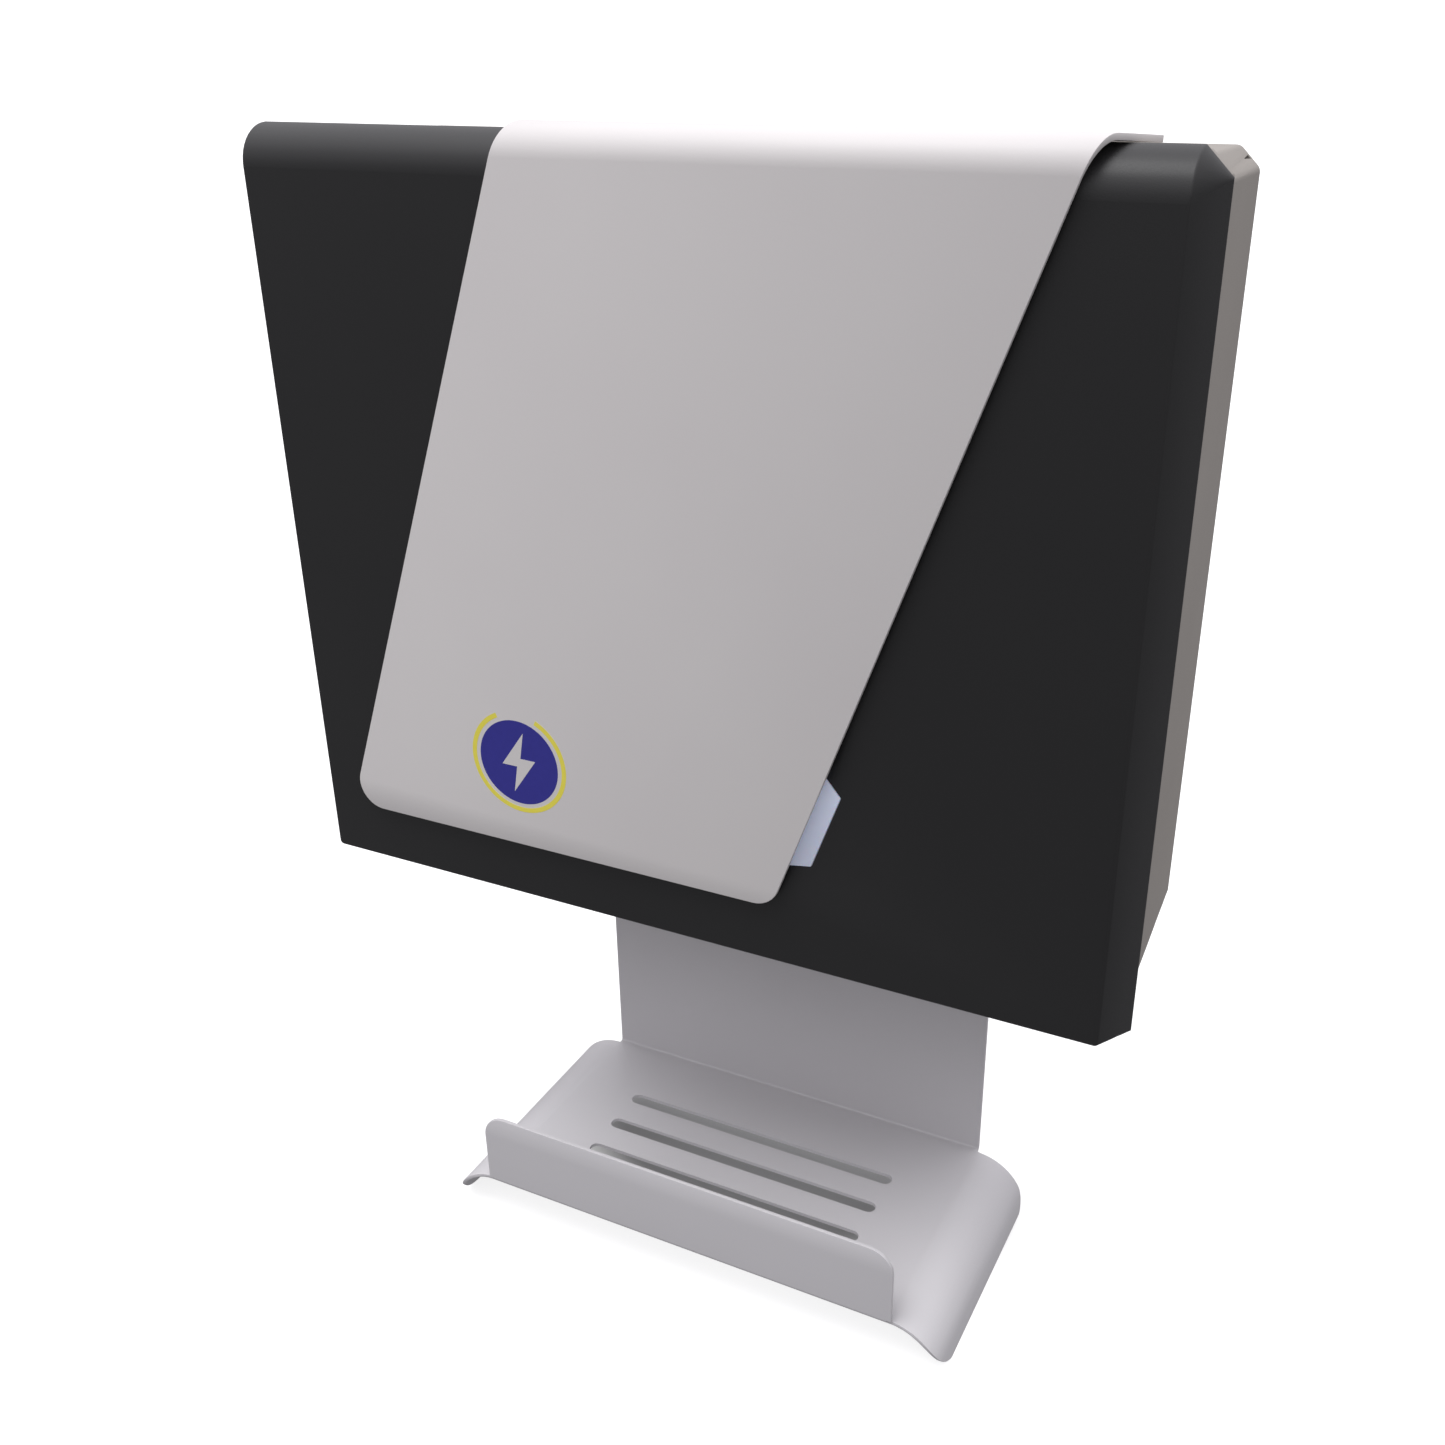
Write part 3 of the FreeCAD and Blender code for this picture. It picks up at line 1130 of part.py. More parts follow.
def make_socket():
    """Outlet in the underside: flanged barrel, seal, screws and the insert with its contacts."""
    flange_top = -flange_seal
    flange_low = flange_top - flange_depth
    inside_top = socket_height - socket_floor
    insert_low = inside_top - insert_height
    square = (socket_x - socket_flange, socket_x + socket_flange)
    square_out = (socket_out - socket_flange, socket_out + socket_flange)
    hinge_out = socket_out - hinge_offset
    hinge_z = flange_low - flap_gap - flap_depth
    lug_low = hinge_z - hinge_radius
    lugs = []
    for side in (-1, 1):
        span = ordered(socket_x + side * lug_inner, socket_x + side * (lug_inner + lug_width))
        lugs.append(block(span, (hinge_out - hinge_radius, hinge_out + hinge_radius), (hinge_z, flange_low)))
        lugs.append(rod(hinge_radius, span[0], hinge_out, hinge_z, lug_width, "right"))
    solid = fuse(block(square, square_out, (flange_low, flange_top)),
                 rod(socket_barrel, socket_x, socket_out, flange_low, socket_height - flange_low), *lugs)
    screw_holes = [rod(tapping_radius, x, out, flange_low - 1, flange_depth + 2)
                   for x, out in flange_screw_places()]
    node("socket_body", cut(
        solid,
        rod(socket_bore, socket_x, socket_out, flange_low - 1, inside_top - flange_low + 1),
        rod(hinge_pin + thread_fit, socket_x - lug_inner - lug_width - 1, hinge_out, hinge_z,
            (lug_inner + lug_width + 1) * 2, "right"),
        rod(lock_radius + running_fit, socket_x - socket_barrel - 1, socket_out, lock_height,
            socket_barrel - socket_bore + 4, "right"),
        *screw_holes))
    gasket_holes = [rod(tapping_radius, x, out, flange_top, flange_seal) for x, out in flange_screw_places()]
    node("socket_gasket", cut(block(square, square_out, (flange_top, term(0))),
                              rod(socket_barrel + barrel_fit, socket_x, socket_out, flange_top, flange_seal),
                              *gasket_holes))
    head = 1.8
    node("socket_screws", group(*[
        fuse(rod(tapping_radius + 1.4, x, out, flange_low - head, head),
             rod(tapping_radius - 0.1, x, out, flange_low, flange_depth + flange_seal + housing_wall + 5))
        for x, out in flange_screw_places()]))
    contacts = contact_places()
    node("socket_insert", cut(rod(insert_radius, socket_x, socket_out, insert_low, insert_height),
                              *[rod(radius, x, out, insert_low, insert_height) for x, out, radius in contacts]))
    node("socket_contacts", group(*[
        tube(radius, radius - contact_sheet, x, out, insert_low, insert_height)
        for x, out, radius in contacts]))
    make_flap(flange_low, hinge_out, hinge_z)
    make_lock()


def make_flap(flange_low, hinge_out, hinge_z):
    """Sprung flap under the socket, hinged at the wall side."""
    top = flange_low - flap_gap
    low = top - flap_depth
    arm = block((socket_x - knuckle_half, socket_x + knuckle_half), (hinge_out, socket_out - 10),
                (low, top))
    knuckle = rod(hinge_radius, socket_x - knuckle_half, hinge_out, hinge_z, knuckle_half * 2, "right")
    grip_out = socket_out + flap_radius
    grip = block((socket_x - grip_half, socket_x + grip_half), (grip_out - 4, grip_out + 4), (low, top - 0.6))
    node("socket_flap", cut(
        fuse(rod(flap_radius, socket_x, socket_out, low, flap_depth), arm, knuckle, grip),
        rod(hinge_pin + running_fit, socket_x - knuckle_half, hinge_out, hinge_z, knuckle_half * 2, "right")))
    node("flap_seal", tube(socket_bore + 2.4, socket_bore + 0.6, socket_x, socket_out, top,
                           flap_gap - seal_clear))
    node("flap_pin", rod(hinge_pin, socket_x - lug_inner - lug_width, hinge_out, hinge_z,
                         (lug_inner + lug_width) * 2, "right"))
    coils = []
    for index in range(3):
        coil = doc.addObject("Part::Torus", "coil")
        bind(coil, "Radius1", hinge_pin + spring_wire)
        bind(coil, "Radius2", spring_wire)
        place = socket_x + knuckle_half + spring_wire * 2 + index
        coils.append(put(coil, place, hinge_out, hinge_z, ALONG["right"]))
    node("flap_spring", group(*coils))


def make_lock():
    """Motor drive whose pin slides into the barrel to hold the plug."""
    face = socket_x - socket_barrel - barrel_fit
    pin_end = socket_x - socket_bore - 1.5
    pin_start = pin_end - pin_length
    node("lock_actuator", cut(
        block((face - drive_length, face), (socket_out - drive_half, socket_out + drive_half),
              (housing_wall, housing_wall + drive_height)),
        rod(lock_radius + running_fit, pin_start - 3, socket_out, lock_height, pin_length + 10, "right")))
    node("lock_pin", rod(lock_radius, pin_start, socket_out, lock_height, pin_length, "right"))


# ---------------------------------------------------------------- entries in the underside

def make_supply_gland():
    """Screwed cable gland: body, sealing insert, dome nut, washer and locknut."""
    def ring(radius, foot, length):
        return rod(radius, supply_x, entry_out, foot, length)

    body_low = -gland_collar
    nut_high = body_low - 2
    thread = supply_radius - 1
    bore = supply_bore + gland_rubber
    node("supply_gland_body", cut(
        fuse(hexagon(supply_radius + 5, supply_x, entry_out, body_low, gland_collar - gland_washer),
             ring(supply_radius, -gland_washer, housing_wall + gland_washer + locknut_height + 3),
             ring(thread, nut_high - gland_grip, gland_grip + 2)),
        ring(bore, nut_high - gland_grip - 1, gland_grip + gland_collar + housing_wall + locknut_height + 9)))
    node("supply_gland_washer", tube(supply_radius + 4, supply_radius + hole_fit, supply_x, entry_out,
                                     -gland_washer, gland_washer))
    node("supply_gland_locknut", cut(
        hexagon(supply_radius + 5, supply_x, entry_out, housing_wall, locknut_height),
        ring(supply_radius + thread_fit, housing_wall, locknut_height)))
    skirt_low = nut_high - gland_skirt
    node("supply_gland_nut", cut(
        fuse(hexagon(supply_radius + 4, supply_x, entry_out, skirt_low, gland_skirt),
             ring(supply_radius + 0.5, skirt_low - gland_dome, gland_dome)),
        ring(thread + thread_fit, skirt_low, gland_skirt),
        ring(bore, skirt_low - gland_dome, gland_dome + gland_skirt)))
    node("supply_gland_seal", tube(bore, supply_bore, supply_x, entry_out, -gland_seal_low, gland_seal_length))


def make_plugs():
    """Blanking plug for the spare entry, and the vent that lets the box breathe."""
    for label, x, radius, cap in (("spare_plug", spare_x, spare_radius, 4), ("vent_plug", vent_x, vent_radius, 5)):
        node(label, fuse(rod(radius + 3, x, entry_out, -cap, cap),
                         rod(radius, x, entry_out, 0, housing_wall + 8)))
        node(f"{label}_locknut", cut(hexagon(radius + 4, x, entry_out, housing_wall, plug_locknut),
                                     rod(radius + thread_fit, x, entry_out, housing_wall, plug_locknut)))


make_socket()
make_supply_gland()
make_plugs()


# ---------------------------------------------------------------- check and write

doc.recompute()
for thing in doc.Objects:
    if {"Invalid", "Error"} & set(thing.State):
        raise ValueError(f"{thing.Name} failed: {thing.State}")
for thing in NODES:
    if thing.Shape.isNull() or not thing.Shape.isValid() or not thing.Shape.Solids:
        raise ValueError(f"{thing.Label} has no valid solid")

os.makedirs("parts", exist_ok=True)
for thing in NODES:
    thing.Shape.exportStep(f"parts/{thing.Label}.step")
print(len(NODES), "nodes")
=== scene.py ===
import math

import bpy
from mathutils import Euler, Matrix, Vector


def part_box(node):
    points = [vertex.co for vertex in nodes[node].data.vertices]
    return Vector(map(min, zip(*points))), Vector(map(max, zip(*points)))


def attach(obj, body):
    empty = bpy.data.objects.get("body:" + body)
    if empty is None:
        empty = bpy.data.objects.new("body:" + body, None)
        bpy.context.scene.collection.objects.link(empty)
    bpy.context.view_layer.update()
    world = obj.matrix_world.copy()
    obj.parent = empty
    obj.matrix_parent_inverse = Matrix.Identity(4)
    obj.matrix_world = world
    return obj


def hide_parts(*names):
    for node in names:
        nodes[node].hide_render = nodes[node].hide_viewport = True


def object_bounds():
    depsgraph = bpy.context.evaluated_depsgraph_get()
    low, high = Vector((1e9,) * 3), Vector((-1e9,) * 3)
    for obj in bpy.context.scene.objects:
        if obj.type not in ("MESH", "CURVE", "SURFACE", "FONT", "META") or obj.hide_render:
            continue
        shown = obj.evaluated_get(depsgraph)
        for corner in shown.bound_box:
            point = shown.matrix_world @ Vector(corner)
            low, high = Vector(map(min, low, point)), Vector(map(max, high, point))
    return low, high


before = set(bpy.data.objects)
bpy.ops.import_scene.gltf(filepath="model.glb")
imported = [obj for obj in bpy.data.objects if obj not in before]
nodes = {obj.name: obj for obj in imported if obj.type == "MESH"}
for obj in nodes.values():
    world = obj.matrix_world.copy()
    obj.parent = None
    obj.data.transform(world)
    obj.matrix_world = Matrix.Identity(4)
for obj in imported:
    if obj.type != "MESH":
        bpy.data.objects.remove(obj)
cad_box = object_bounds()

scene = bpy.context.scene


# ------------------------------------------------------------------ rear housing
# The back half of the box, one injection moulding in grey weatherproof ASA. Its sides are
# drafted so that it leaves the mould, and a thicker rim at the front carries the seal. The
# mould is spark-eroded, which leaves an even, fine matt grain, and its edges are eased.

MM = 0.001
WELD = 0.002 * MM           # points closer than this are one point
FLAT = math.radians(0.3)    # faces that turn less than this are one face
SHARP = math.radians(35)    # edges that turn more than this are sharp

# A colour mix node's sockets, which share their names with its other kinds' sockets.
MIX_FACTOR, MIX_FIRST, MIX_SECOND, MIX_RESULT = 0, 6, 7, 2


def linear(code):
    """An sRGB hex colour as the linear colour that the shader takes."""
    parts = [int(code[i:i + 2], 16) / 255 for i in (0, 2, 4)]
    return (*[c / 12.92 if c <= 0.04045 else ((c + 0.055) / 1.055) ** 2.4 for c in parts], 1.0)


def add_node(tree, kind, settings=None, links=None):
    """Adds a shader node, with its settings and with the sockets that feed its inputs."""
    made = tree.nodes.new(f"ShaderNode{kind}")
    for name, value in (settings or {}).items():
        if isinstance(name, int) or name in made.inputs:
            made.inputs[name].default_value = value
        else:
            setattr(made, name, value)
    for name, source in (links or {}).items():
        tree.links.new(source, made.inputs[name])
    return made


def new_material(name, **sockets):
    """A material with those shader sockets set, its tree and the pieces' own coordinates."""
    material = bpy.data.materials.new(name)
    material.use_nodes = True
    tree = material.node_tree
    for socket, value in sockets.items():
        tree.nodes["Principled BSDF"].inputs[socket.replace("_", " ")].default_value = value
    return material, tree, add_node(tree, "TexCoord").outputs["Object"]


def feed(tree, socket, source):
    """Links a node's output to one of the shader's inputs."""
    tree.links.new(source, tree.nodes["Principled BSDF"].inputs[socket])


def noise(tree, place, size, detail, **settings):
    """Soft noise whose patches are about that size, from 0 to 1."""
    chosen = {"Scale": 1 / size, "Detail": detail, **settings}
    return add_node(tree, "TexNoise", chosen, {"Vector": place}).outputs["Fac"]


def two_tone(tree, factor, first, second):
    """Runs the shader's colour between two hex colours by a factor."""
    colours = {"data_type": "RGBA", MIX_FIRST: linear(first), MIX_SECOND: linear(second)}
    mixed = add_node(tree, "Mix", colours, {MIX_FACTOR: factor})
    feed(tree, "Base Color", mixed.outputs[MIX_RESULT])


def vary_roughness(tree, factor, low, high):
    """Runs the shader's roughness between two values by a factor."""
    spread = add_node(tree, "MapRange", {"To Min": low, "To Max": high}, {"Value": factor})
    feed(tree, "Roughness", spread.outputs["Result"])


def bump(tree, height, depth):
    """Lets the surface look raised by a height from 0 to 1 times the depth."""
    made = add_node(tree, "Bump", {"Distance": depth, "Strength": 1.0}, {"Height": height})
    feed(tree, "Normal", made.outputs["Normal"])


def moulded_plastic(name, dark, light, rough, grain=0.6 * MM, depth=0.02 * MM, ior=1.5):
    """Injection-moulded plastic: an even grain from the eroded mould, and faint flow marks."""
    material, tree, place = new_material(name, IOR=ior)
    flow = noise(tree, place, 60 * MM, detail=3.0)
    pits = noise(tree, place, grain, detail=2.0, Roughness=0.6)
    two_tone(tree, flow, dark, light)
    vary_roughness(tree, pits, rough - 0.06, rough + 0.06)
    bump(tree, pits, depth)
    return material


def only(piece):
    """Selects one piece alone and makes it the active one."""
    bpy.ops.object.select_all(action="DESELECT")
    piece.select_set(True)
    bpy.context.view_layer.objects.active = piece


def apply_modifier(piece, kind, **settings):
    """Adds a modifier with those settings and turns its result into the piece's mesh."""
    made = piece.modifiers.new(kind.lower(), kind)
    for name, value in settings.items():
        setattr(made, name, value)
    only(piece)
    bpy.ops.object.modifier_apply(modifier=made.name)


def smooth(piece):
    """Shades the piece smooth, apart from its sharp edges."""
    only(piece)
    bpy.ops.object.shade_smooth_by_angle(angle=SHARP)


def finish(piece, material, body="housing"):
    """Gives a piece its material and lets it ride on its body."""
    piece.data.materials.clear()
    piece.data.materials.append(material)
    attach(piece, body)
    return piece


def weigh_edges(mesh, shortest):
    """Marks the selected edges for rounding, apart from those that meet a very short one."""
    places = mesh.vertices
    sharp_edges = [edge for edge in mesh.edges if edge.select]
    tight = set()
    for edge in sharp_edges:
        first, second = edge.vertices
        if (places[first].co - places[second].co).length < shortest:
            tight.update((first, second))
    weights = mesh.attributes.new("bevel_weight_edge", "FLOAT", "EDGE")
    for edge in sharp_edges:
        weights.data[edge.index].value = float(tight.isdisjoint(edge.vertices))


def eased(node, ending, edge, material, body="housing", shortest=1.2):
    """The CAD piece with its sharp edges rounded off by that radius.

    Edges shorter than that multiple of the radius stay sharp, as do their neighbours.
    """
    piece = bpy.data.objects.new(f"{node}_{ending}", nodes[node].data.copy())
    scene.collection.objects.link(piece)
    only(piece)
    bpy.ops.mesh.customdata_custom_splitnormals_clear()
    bpy.ops.object.mode_set(mode="EDIT")
    bpy.ops.mesh.select_all(action="SELECT")
    bpy.ops.mesh.remove_doubles(threshold=WELD)
    bpy.ops.mesh.dissolve_limited(angle_limit=FLAT)
    bpy.ops.mesh.select_mode(type="EDGE")
    bpy.ops.mesh.select_all(action="DESELECT")
    bpy.ops.mesh.edges_select_sharp(sharpness=SHARP)
    bpy.ops.object.mode_set(mode="OBJECT")
    weigh_edges(piece.data, shortest * edge)
    apply_modifier(piece, "BEVEL", width=edge, segments=2, limit_method="WEIGHT",
                   use_clamp_overlap=False)
    smooth(piece)
    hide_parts(node)
    finish(piece, material, body)


grey_asa = moulded_plastic("moulded grey ASA", "918B84", "98928B", rough=0.52,
                           grain=0.7 * MM, depth=0.05 * MM)
eased("rear_housing", "moulding", 0.5 * MM, grey_asa)


# ------------------------------------------------------------------ seal and inner fixings
# A square cord of black EPDM lies in the rim's groove and is pressed by the cover. Zinc-plated
# steel brackets and catches hold the cover, and stainless screws close it from below.

def rubber(name, colour, sheen):
    """Extruded rubber: dark, dull, with fine drag lines and a little bloom."""
    material, tree, place = new_material(name, IOR=1.52)
    bloom = noise(tree, place, 9 * MM, detail=4.0)
    skin = noise(tree, place, 0.4 * MM, detail=1.0)
    two_tone(tree, bloom, colour, sheen)
    vary_roughness(tree, bloom, 0.62, 0.8)
    bump(tree, skin, 0.03 * MM)
    return material


def plated_steel(name, dark, light, rough):
    """Zinc-plated or stainless steel: bright metal, with the clouding of the plating bath."""
    material, tree, place = new_material(name, Metallic=1.0)
    clouds = noise(tree, place, 2.5 * MM, detail=5.0)
    two_tone(tree, clouds, dark, light)
    vary_roughness(tree, clouds, rough - 0.08, rough + 0.1)
    bump(tree, clouds, 0.01 * MM)
    return material


def paint(material, *names):
    """Gives CAD pieces that keep their shape their material."""
    for name in names:
        for holder in nodes[name].material_slots:
            holder.material = material


epdm = rubber("black EPDM rubber", "161617", "222223")
zinc = plated_steel("zinc-plated steel", "9DA0A3", "C3C5C4", rough=0.36)
stainless = plated_steel("stainless screw steel", "8D8F91", "B6B8B9", rough=0.28)
paint(epdm, "housing_gasket")
paint(zinc, "cover_brackets", "cover_catches", "hanger_studs", "panel_studs")
paint(stainless, "cover_screws", "panel_nuts", "hanger_nuts", "light_box_screws")


# ------------------------------------------------------------------ front cover
# The black front is an ABS and polycarbonate moulding with bevelled sides, a rolled top edge
# and clipped corners. Its grain is finer than the housing's, so it reads as a soft satin black.

black_abs = moulded_plastic("moulded black ABS", "151516", "191919", rough=0.45,
                            grain=0.5 * MM, depth=0.03 * MM)
eased("front_cover", "moulding", 0.7 * MM, black_abs)


# ------------------------------------------------------------------ slanted front panel
# One piece of sheet metal cut on the slant, folded over the top edge and powder coated in light
# grey. The coat flows out into a faint orange peel with a silky finish. Plastic spacers hold
# the sheet clear of the cover.

def powder_coat(name, dark, light, rough, peel=1.6 * MM, depth=0.02 * MM):
    """Baked powder coat: wide, shallow orange peel, and dust nibs a third as high on it."""
    material, tree, place = new_material(name, IOR=1.5)
    drift = noise(tree, place, 90 * MM, detail=2.0)
    waves = noise(tree, place, peel, detail=1.0)
    nibs = noise(tree, place, 0.35 * MM, detail=2.0)
    both = add_node(tree, "Math", {"operation": "MULTIPLY_ADD", 1: 0.35}, {0: nibs, 2: waves})
    two_tone(tree, drift, dark, light)
    vary_roughness(tree, nibs, rough - 0.05, rough + 0.07)
    bump(tree, both.outputs[0], depth)
    return material


panel_coat = powder_coat("light grey powder coat", "D0CCCB", "D5D2D0", rough=0.48)
eased("front_panel", "sheet", 0.35 * MM, panel_coat)
spacer_nylon = moulded_plastic("natural nylon", "CFCBC0", "DAD6CC", rough=0.5, depth=0.01 * MM)
paint(spacer_nylon, "panel_spacers")


# ------------------------------------------------------------------ printed emblem
# A plain charging sign, screen printed on the panel near its lower corner: a blue disc with a
# bolt in the panel's colour on it, and a yellow ring broken at the top, like a cable.

def printed_ink(name, colour, worn):
    """Screen-printed ink: flat colour with a slight orange peel of its own."""
    material, tree, place = new_material(name, IOR=1.48)
    cover = noise(tree, place, 3 * MM, detail=3.0)
    two_tone(tree, cover, colour, worn)
    vary_roughness(tree, cover, 0.36, 0.46)
    bump(tree, cover, 0.005 * MM)
    return material


def settle(piece):
    """Moves the piece's place into its mesh, so that the object sits at the origin."""
    only(piece)
    bpy.ops.object.transform_apply(location=True, rotation=True, scale=True)
    return piece


INK = 0.06 * MM         # thickness of the print, of which a part is sunk into the coat
INK_MIDDLE = 0.02 * MM  # from the panel's face out to the middle of that thickness
EMBLEM = Vector((-0.078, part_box("front_panel")[0].y - INK_MIDDLE, 0.076))

# The emblem's outlines, in millimetres and degrees round its centre.
DISC, DISC_SIDES = 21.5, 96
RING_OUTER, RING_INNER = 26, 23.6
RING_START, RING_STOP, RING_STEPS = 115, 425, 80
BOLT = [(1.1, 2.2), (9.3, 2.2), (-3.6, -15.8), (-1.1, -2.2), (-9.3, -2.2), (3.6, 15.8)]


def flat_ink(name, outline, material):
    """A flat print on the panel's face from an outline round the emblem's centre."""
    mesh = bpy.data.meshes.new(name)
    mesh.from_pydata([(EMBLEM.x + x * MM, EMBLEM.y, EMBLEM.z + z * MM) for x, z in outline], [],
                     [list(range(len(outline)))])
    piece = bpy.data.objects.new(name, mesh)
    scene.collection.objects.link(piece)
    apply_modifier(piece, "SOLIDIFY", thickness=INK, offset=0)
    return finish(piece, material)


def round_points(radius, start, stop, steps):
    """Points on a circle's arc between two angles in degrees."""
    turns = [math.radians(start + (stop - start) * i / steps) for i in range(steps + 1)]
    return [(radius * math.cos(t), radius * math.sin(t)) for t in turns]


blue_ink = printed_ink("blue screen ink", "2B2A86", "302F90")
yellow_ink = printed_ink("yellow screen ink", "E6D94A", "EADF5C")
disc = round_points(DISC, 0, 360 - 360 / DISC_SIDES, DISC_SIDES - 1)
ring_outside = round_points(RING_OUTER, RING_START, RING_STOP, RING_STEPS)
ring_inside = round_points(RING_INNER, RING_STOP, RING_START, RING_STEPS)
flat_ink("emblem_disc", disc, blue_ink)
flat_ink("emblem_ring", ring_outside + ring_inside, yellow_ink)
bolt = flat_ink("emblem_bolt", BOLT, panel_coat)
bolt.location = (0, -INK, 0)
settle(bolt)


# ------------------------------------------------------------------ light window
# A hexagon of opal acrylic, pushed into the cover from behind and lit by seven LEDs on a board
# behind a white reflector. The acrylic scatters light, so it looks milky and a little blue.

def opal_acrylic(name):
    """Opal acrylic: milky all through, with a faint haze and the glow of the LEDs behind it."""
    material, tree, place = new_material(
        name, IOR=1.49, Roughness=0.3, Subsurface_Weight=0.35, Subsurface_Scale=3 * MM,
        Emission_Strength=0.15, Emission_Color=linear("C8D2EC"))
    haze = noise(tree, place, 14 * MM, detail=2.0)
    two_tone(tree, haze, "C3C8D8", "CCD1E0")
    bump(tree, haze, 0.01 * MM)
    return material


eased("light_window", "diffuser", 0.4 * MM, opal_acrylic("opal acrylic"))
white_abs = moulded_plastic("white ABS reflector", "ECECEA", "F4F4F2", rough=0.3,
                            grain=0.8 * MM, depth=0.01 * MM)
solder_mask = moulded_plastic("green solder mask", "17482F", "20583A", rough=0.34,
                              grain=1.2 * MM)
led_resin = moulded_plastic("LED silicone", "EADFA0", "F3EBBE", rough=0.2, depth=0.01 * MM,
                            ior=1.41)
paint(white_abs, "light_box")
paint(solder_mask, "light_board")
paint(led_resin, "light_leds")


# ------------------------------------------------------------------ cable hanger
# Laser-cut steel sheet, folded up at the back and the lip and rolled down at the sides, then
# powder coated. Welded studs on its back plate go through the housing and take the nuts.

hanger_coat = powder_coat("light grey powder coat on steel", "C2C0C2", "C8C6C8", rough=0.42,
                          peel=1.3 * MM, depth=0.025 * MM)
eased("cable_hanger", "sheet", 0.3 * MM, hanger_coat, shortest=3)


# ------------------------------------------------------------------ switchgear and rail
# Standard rail-mounted devices in light grey polyamide, clipped side by side on a zinc-plated
# rail, with green plug-in terminals on the controller and grey feed-through terminals.

polyamide = moulded_plastic("light grey polyamide", "D0D1CD", "D9DAD6", rough=0.45)
anthracite = moulded_plastic("anthracite polyamide", "43464A", "4C5054", rough=0.48)
green_pa = moulded_plastic("green polyamide", "38853F", "44964B", rough=0.4)
grey_pa = moulded_plastic("grey polyamide", "828586", "8D9091", rough=0.45)
blue_pa = moulded_plastic("dark blue lever plastic", "1B2745", "222F50", rough=0.35,
                          depth=0.01 * MM)
yellow_pa = moulded_plastic("yellow button plastic", "D2AE1C", "DDBA2A", rough=0.35,
                            depth=0.01 * MM)
red_pa = moulded_plastic("red flag plastic", "B92C1F", "C63A2A", rough=0.35, depth=0.01 * MM)
brass = plated_steel("drawn brass", "A98A42", "C4A65A", rough=0.3)
for name in ("rccb_body", "contactor_body"):
    eased(name, "case", 0.5 * MM, polyamide)
for name in ("charge_controller", "leakage_sensor", "lock_actuator"):
    eased(name, "case", 0.6 * MM, anthracite)
eased("rccb_lever", "moulding", 0.5 * MM, blue_pa, "breaker_lever")
eased("rccb_test_button", "moulding", 0.4 * MM, yellow_pa, "test_button")
eased("contactor_flag", "moulding", 0.3 * MM, red_pa, "contactor_flag")
paint(green_pa, "controller_terminals")
paint(grey_pa, "supply_terminals", "end_clamps")
paint(zinc, "din_rail")
paint(stainless, "rail_screws", "earth_bar_screws")
paint(brass, "earth_bar")
paint(spacer_nylon, "earth_bar_posts")


# ------------------------------------------------------------------ outlet socket
# The outlet in the underside is moulded in black glass-filled polyamide, with silver-plated
# contact sleeves, a hinged flap with its own seal, and a pin that locks the plug in.

def start_mesh(adder, name, **settings):
    """Adds one of Blender's primitives alone, names it and hands it back."""
    bpy.ops.object.select_all(action="DESELECT")
    adder(**settings)
    piece = bpy.context.active_object
    piece.name = piece.data.name = name
    return piece


WIRE_SIDES = 10         # corners of the spring wire's section
TURN_STEPS = 36         # steps in one turn of the spring


def coil_spring(name, node, turns, wire):
    """A thin flat coil inside a CAD node's box, screwed up from a circle across its axis.

    The turns are as wide as the wire, and they run between the middles of its end turns.
    """
    low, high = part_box(node)
    reach = (high.z - low.z) / 2 - wire
    middle = (low + high) / 2
    piece = start_mesh(bpy.ops.mesh.primitive_circle_add, name, vertices=WIRE_SIDES, radius=wire,
                       location=(0, reach, 0), rotation=(0, math.pi / 2, 0))
    settle(piece)
    steps = TURN_STEPS * turns
    apply_modifier(piece, "SCREW", axis="X", angle=2 * math.pi * turns,
                   screw_offset=high.x - low.x - 2 * wire, steps=steps, render_steps=steps,
                   use_merge_vertices=True, merge_threshold=WELD / 2)
    only(piece)
    bpy.ops.object.mode_set(mode="EDIT")
    bpy.ops.mesh.select_all(action="SELECT")
    bpy.ops.mesh.fill_holes(sides=WIRE_SIDES)
    bpy.ops.mesh.normals_make_consistent(inside=False)
    bpy.ops.object.mode_set(mode="OBJECT")
    piece.location = (low.x + wire, middle.y, middle.z)
    return settle(piece)


black_pa = moulded_plastic("black glass-filled polyamide", "1E1F21", "26272A", rough=0.5,
                           grain=0.8 * MM, depth=0.04 * MM)
silver = plated_steel("silver-plated copper", "BDBBB2", "DAD8CF", rough=0.22)
eased("socket_body", "moulding", 0.4 * MM, black_pa)
eased("socket_insert", "moulding", 0.3 * MM, black_pa)
eased("socket_flap", "moulding", 0.5 * MM, black_pa, "flap")
spring = coil_spring("flap_spring_coil", "flap_spring", turns=3, wire=0.4 * MM)
smooth(spring)
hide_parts("flap_spring")
finish(spring, stainless)
paint(epdm, "socket_gasket", "flap_seal")
paint(stainless, "socket_screws", "flap_pin", "lock_pin")
paint(silver, "socket_contacts")


# ------------------------------------------------------------------ entries in the underside
# Grey polyamide gland with a rubber insert for the supply cable, a blanking plug for the spare
# entry and a small vent, each held by a locknut inside.

gland_pa = moulded_plastic("grey gland polyamide", "66696C", "707376", rough=0.46,
                           grain=0.7 * MM, depth=0.03 * MM)
for name in ("supply_gland_body", "supply_gland_nut", "spare_plug", "vent_plug"):
    eased(name, "moulding", 0.5 * MM, gland_pa)
paint(gland_pa, "supply_gland_locknut", "spare_plug_locknut", "vent_plug_locknut")
paint(epdm, "supply_gland_seal", "supply_gland_washer")


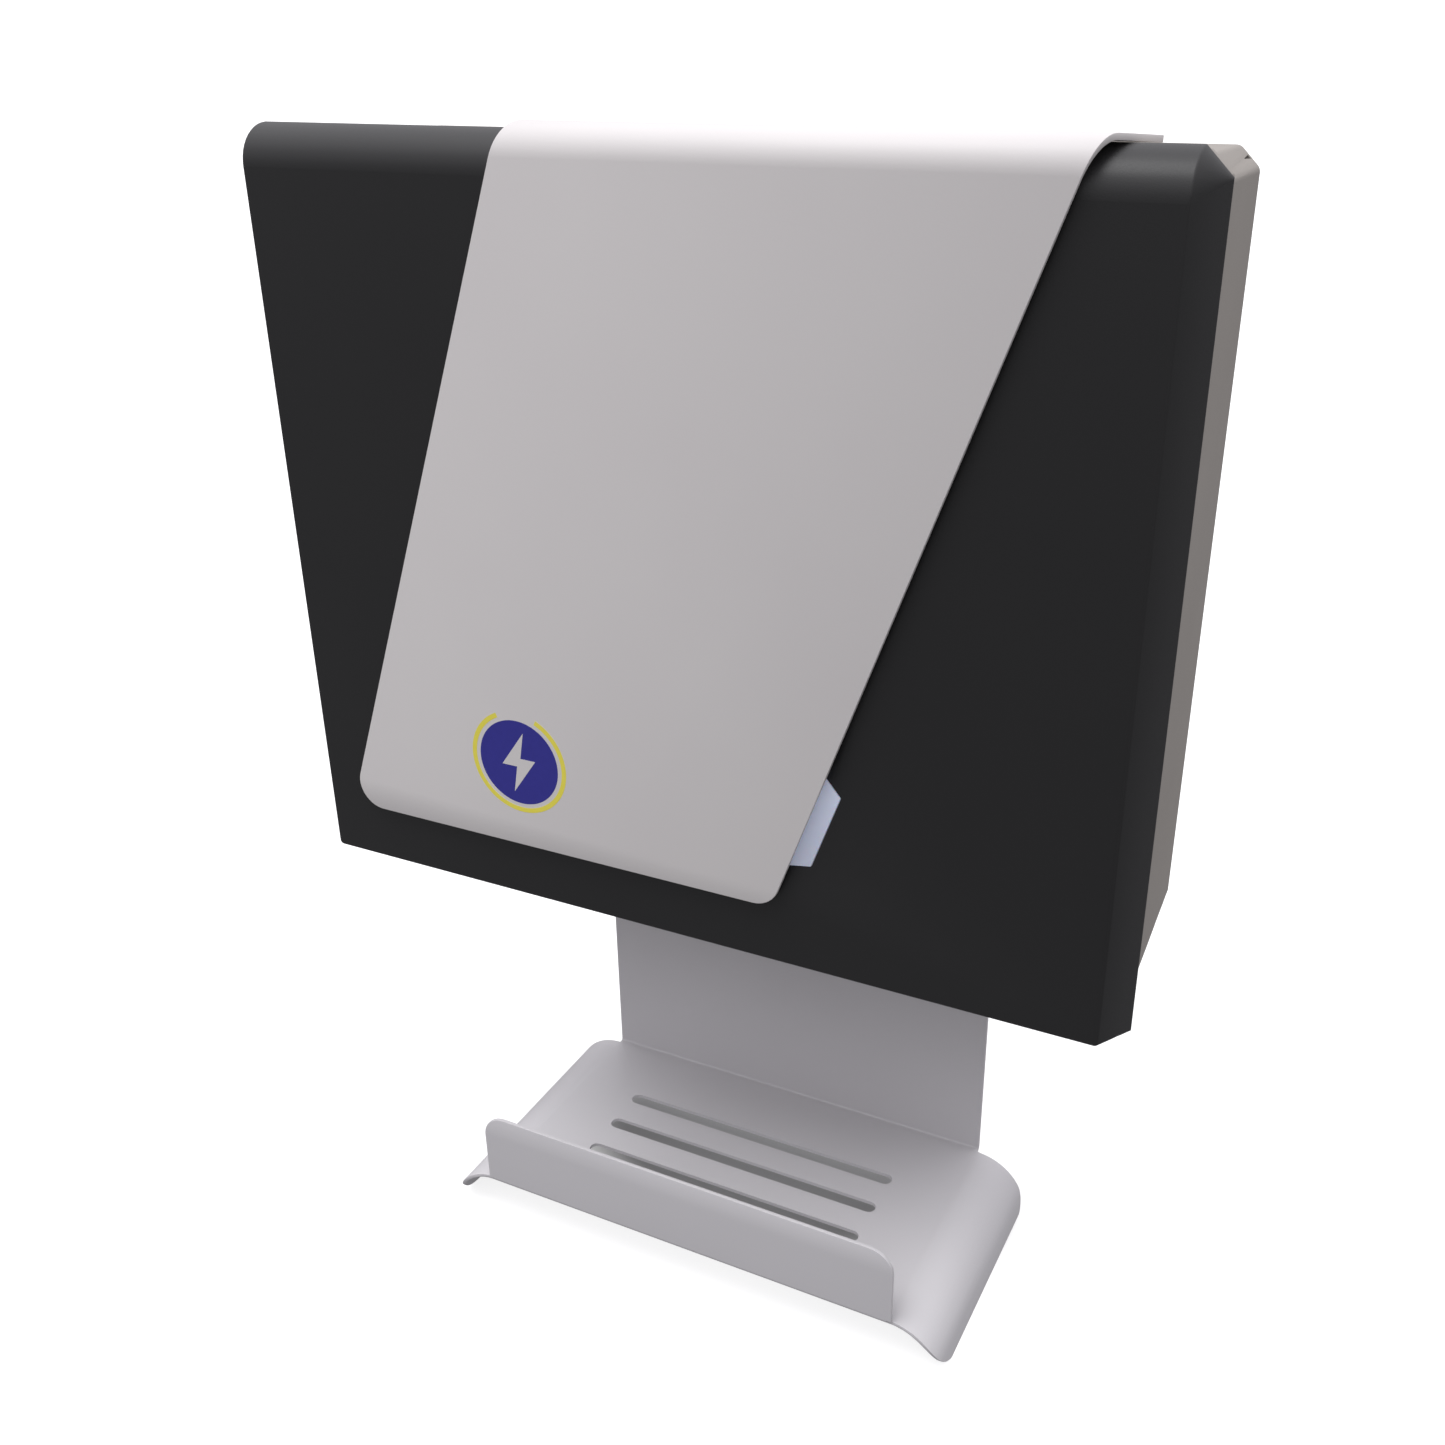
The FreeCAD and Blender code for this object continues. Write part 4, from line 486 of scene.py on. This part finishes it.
# ------------------------------------------------------------------ studio
# The box stands on the edges of the hanger's wings on a white light table, inside a round white
# backdrop. The room is lit from its ceiling, bright overhead and dim towards the ground, and a
# wide soft lamp shines down from the upper left.

TABLE_SIDE, TABLE_GLOW = 60, 0.78
BACKDROP_RADIUS, BACKDROP_HEIGHT, BACKDROP_MIDDLE, BACKDROP_GLOW = 28, 30, 10, 1.1
# Painted shadow under the stand: an ellipse on the light table where its glow is turned down, so
# the slots and the floor under the lip look shaded.
PAINTED_SHADE_MIDDLE, PAINTED_SHADE_REACH = (0, -0.03, 0), (0.165, 0.088, 1)
PAINTED_SHADE_GLOW, PAINTED_SHADE_CORE = 0.06, 0.55
ROOM_LOW, ROOM_HIGH = 0.3, 1.85


def glowing_white(name, glow):
    """White sheet that is lit from behind, so that shadows on it stay faint."""
    material, tree, place = new_material(
        name, Roughness=0.9, Emission_Strength=glow, Emission_Color=linear("FFFFFF"))
    two_tone(tree, noise(tree, place, 1 / 3, detail=2.0), "A0A0A0", "A4A4A4")
    material.cycles.emission_sampling = "NONE"
    return material


def paint_shade_under_stand(material, glow):
    """Paints shade on the light table under the stand by turning the table's glow down there.

    The painted shade is an ellipse round the stand. Its core, a share of its reach, is evenly
    dim.
    """
    tree = material.node_tree
    place = add_node(tree, "TexCoord").outputs["Object"]
    ellipse = {"vector_type": "TEXTURE", "Location": PAINTED_SHADE_MIDDLE, "Scale": PAINTED_SHADE_REACH}
    stand = add_node(tree, "Mapping", ellipse, {"Vector": place}).outputs["Vector"]
    flat = add_node(tree, "VectorMath", {"operation": "MULTIPLY", 1: (1, 1, 0)}, {0: stand})
    away = add_node(tree, "VectorMath", {"operation": "LENGTH"}, {0: flat.outputs["Vector"]})
    fade = {"interpolation_type": "SMOOTHSTEP", "From Min": PAINTED_SHADE_CORE, "From Max": 1.0,
            "To Min": PAINTED_SHADE_GLOW, "To Max": glow}
    ramp = add_node(tree, "MapRange", fade, {"Value": away.outputs["Value"]})
    feed(tree, "Emission Strength", ramp.outputs["Result"])


def unlit_stage(piece, material):
    """Stages a piece that is seen behind the box but throws no light on it."""
    settle(piece)
    piece.data.materials.append(material)
    piece.visible_diffuse = False
    piece.visible_glossy = False
    return piece


def sun_lamp(name, azimuth, elevation, spread, power):
    """A distant soft lamp at that angle left of the front and above level, in degrees."""
    lamp = bpy.data.lights.new(name, "SUN")
    lamp.energy = power
    lamp.angle = math.radians(spread)
    holder = bpy.data.objects.new(name, lamp)
    turn = (90 - elevation, 0, -azimuth)
    holder.rotation_euler = Euler([math.radians(angle) for angle in turn], "XYZ")
    scene.collection.objects.link(holder)


table = start_mesh(bpy.ops.mesh.primitive_plane_add, "light_table", size=TABLE_SIDE,
                   location=(0, 0, cad_box[0][2]))
table_white = glowing_white("light table", TABLE_GLOW)
unlit_stage(table, table_white)
# Paints the shade under the stand into the table's glow.
paint_shade_under_stand(table_white, TABLE_GLOW)
wall = start_mesh(bpy.ops.mesh.primitive_cylinder_add, "backdrop", vertices=96,
                  radius=BACKDROP_RADIUS, depth=BACKDROP_HEIGHT, end_fill_type="NOTHING",
                  location=(0, 0, BACKDROP_MIDDLE))
unlit_stage(wall, glowing_white("backdrop", BACKDROP_GLOW)).visible_shadow = False

room = bpy.data.worlds.new("white room")
room.use_nodes = True
tree = room.node_tree
ways = add_node(tree, "TexCoord").outputs["Generated"]
upward = add_node(tree, "SeparateXYZ", links={"Vector": ways}).outputs["Z"]
glow = add_node(tree, "MapRange", {"To Min": ROOM_LOW, "To Max": ROOM_HIGH}, {"Value": upward})
tree.links.new(glow.outputs["Result"], tree.nodes["Background"].inputs["Strength"])
tree.nodes["Background"].inputs["Color"].default_value = linear("FBFAFF")
scene.world = room
sun_lamp("ceiling lamp", azimuth=30, elevation=70, spread=30, power=1.1)

# A normal lens close to the box, to its right and a little above its top.
camera_data = bpy.data.cameras.new("camera")
camera_data.sensor_width = 36
camera_data.lens = 38.153
camera_data.shift_x = -0.00596
camera_data.shift_y = 0.01395
camera = bpy.data.objects.new("camera", camera_data)
camera.location = (0.30331, -0.66043, 0.39545)
camera_turn = (64.0814, 0.8438, 26.8546)
camera.rotation_euler = Euler([math.radians(angle) for angle in camera_turn], "XYZ")
scene.collection.objects.link(camera)
scene.camera = camera
scene.view_settings.view_transform = "Standard"
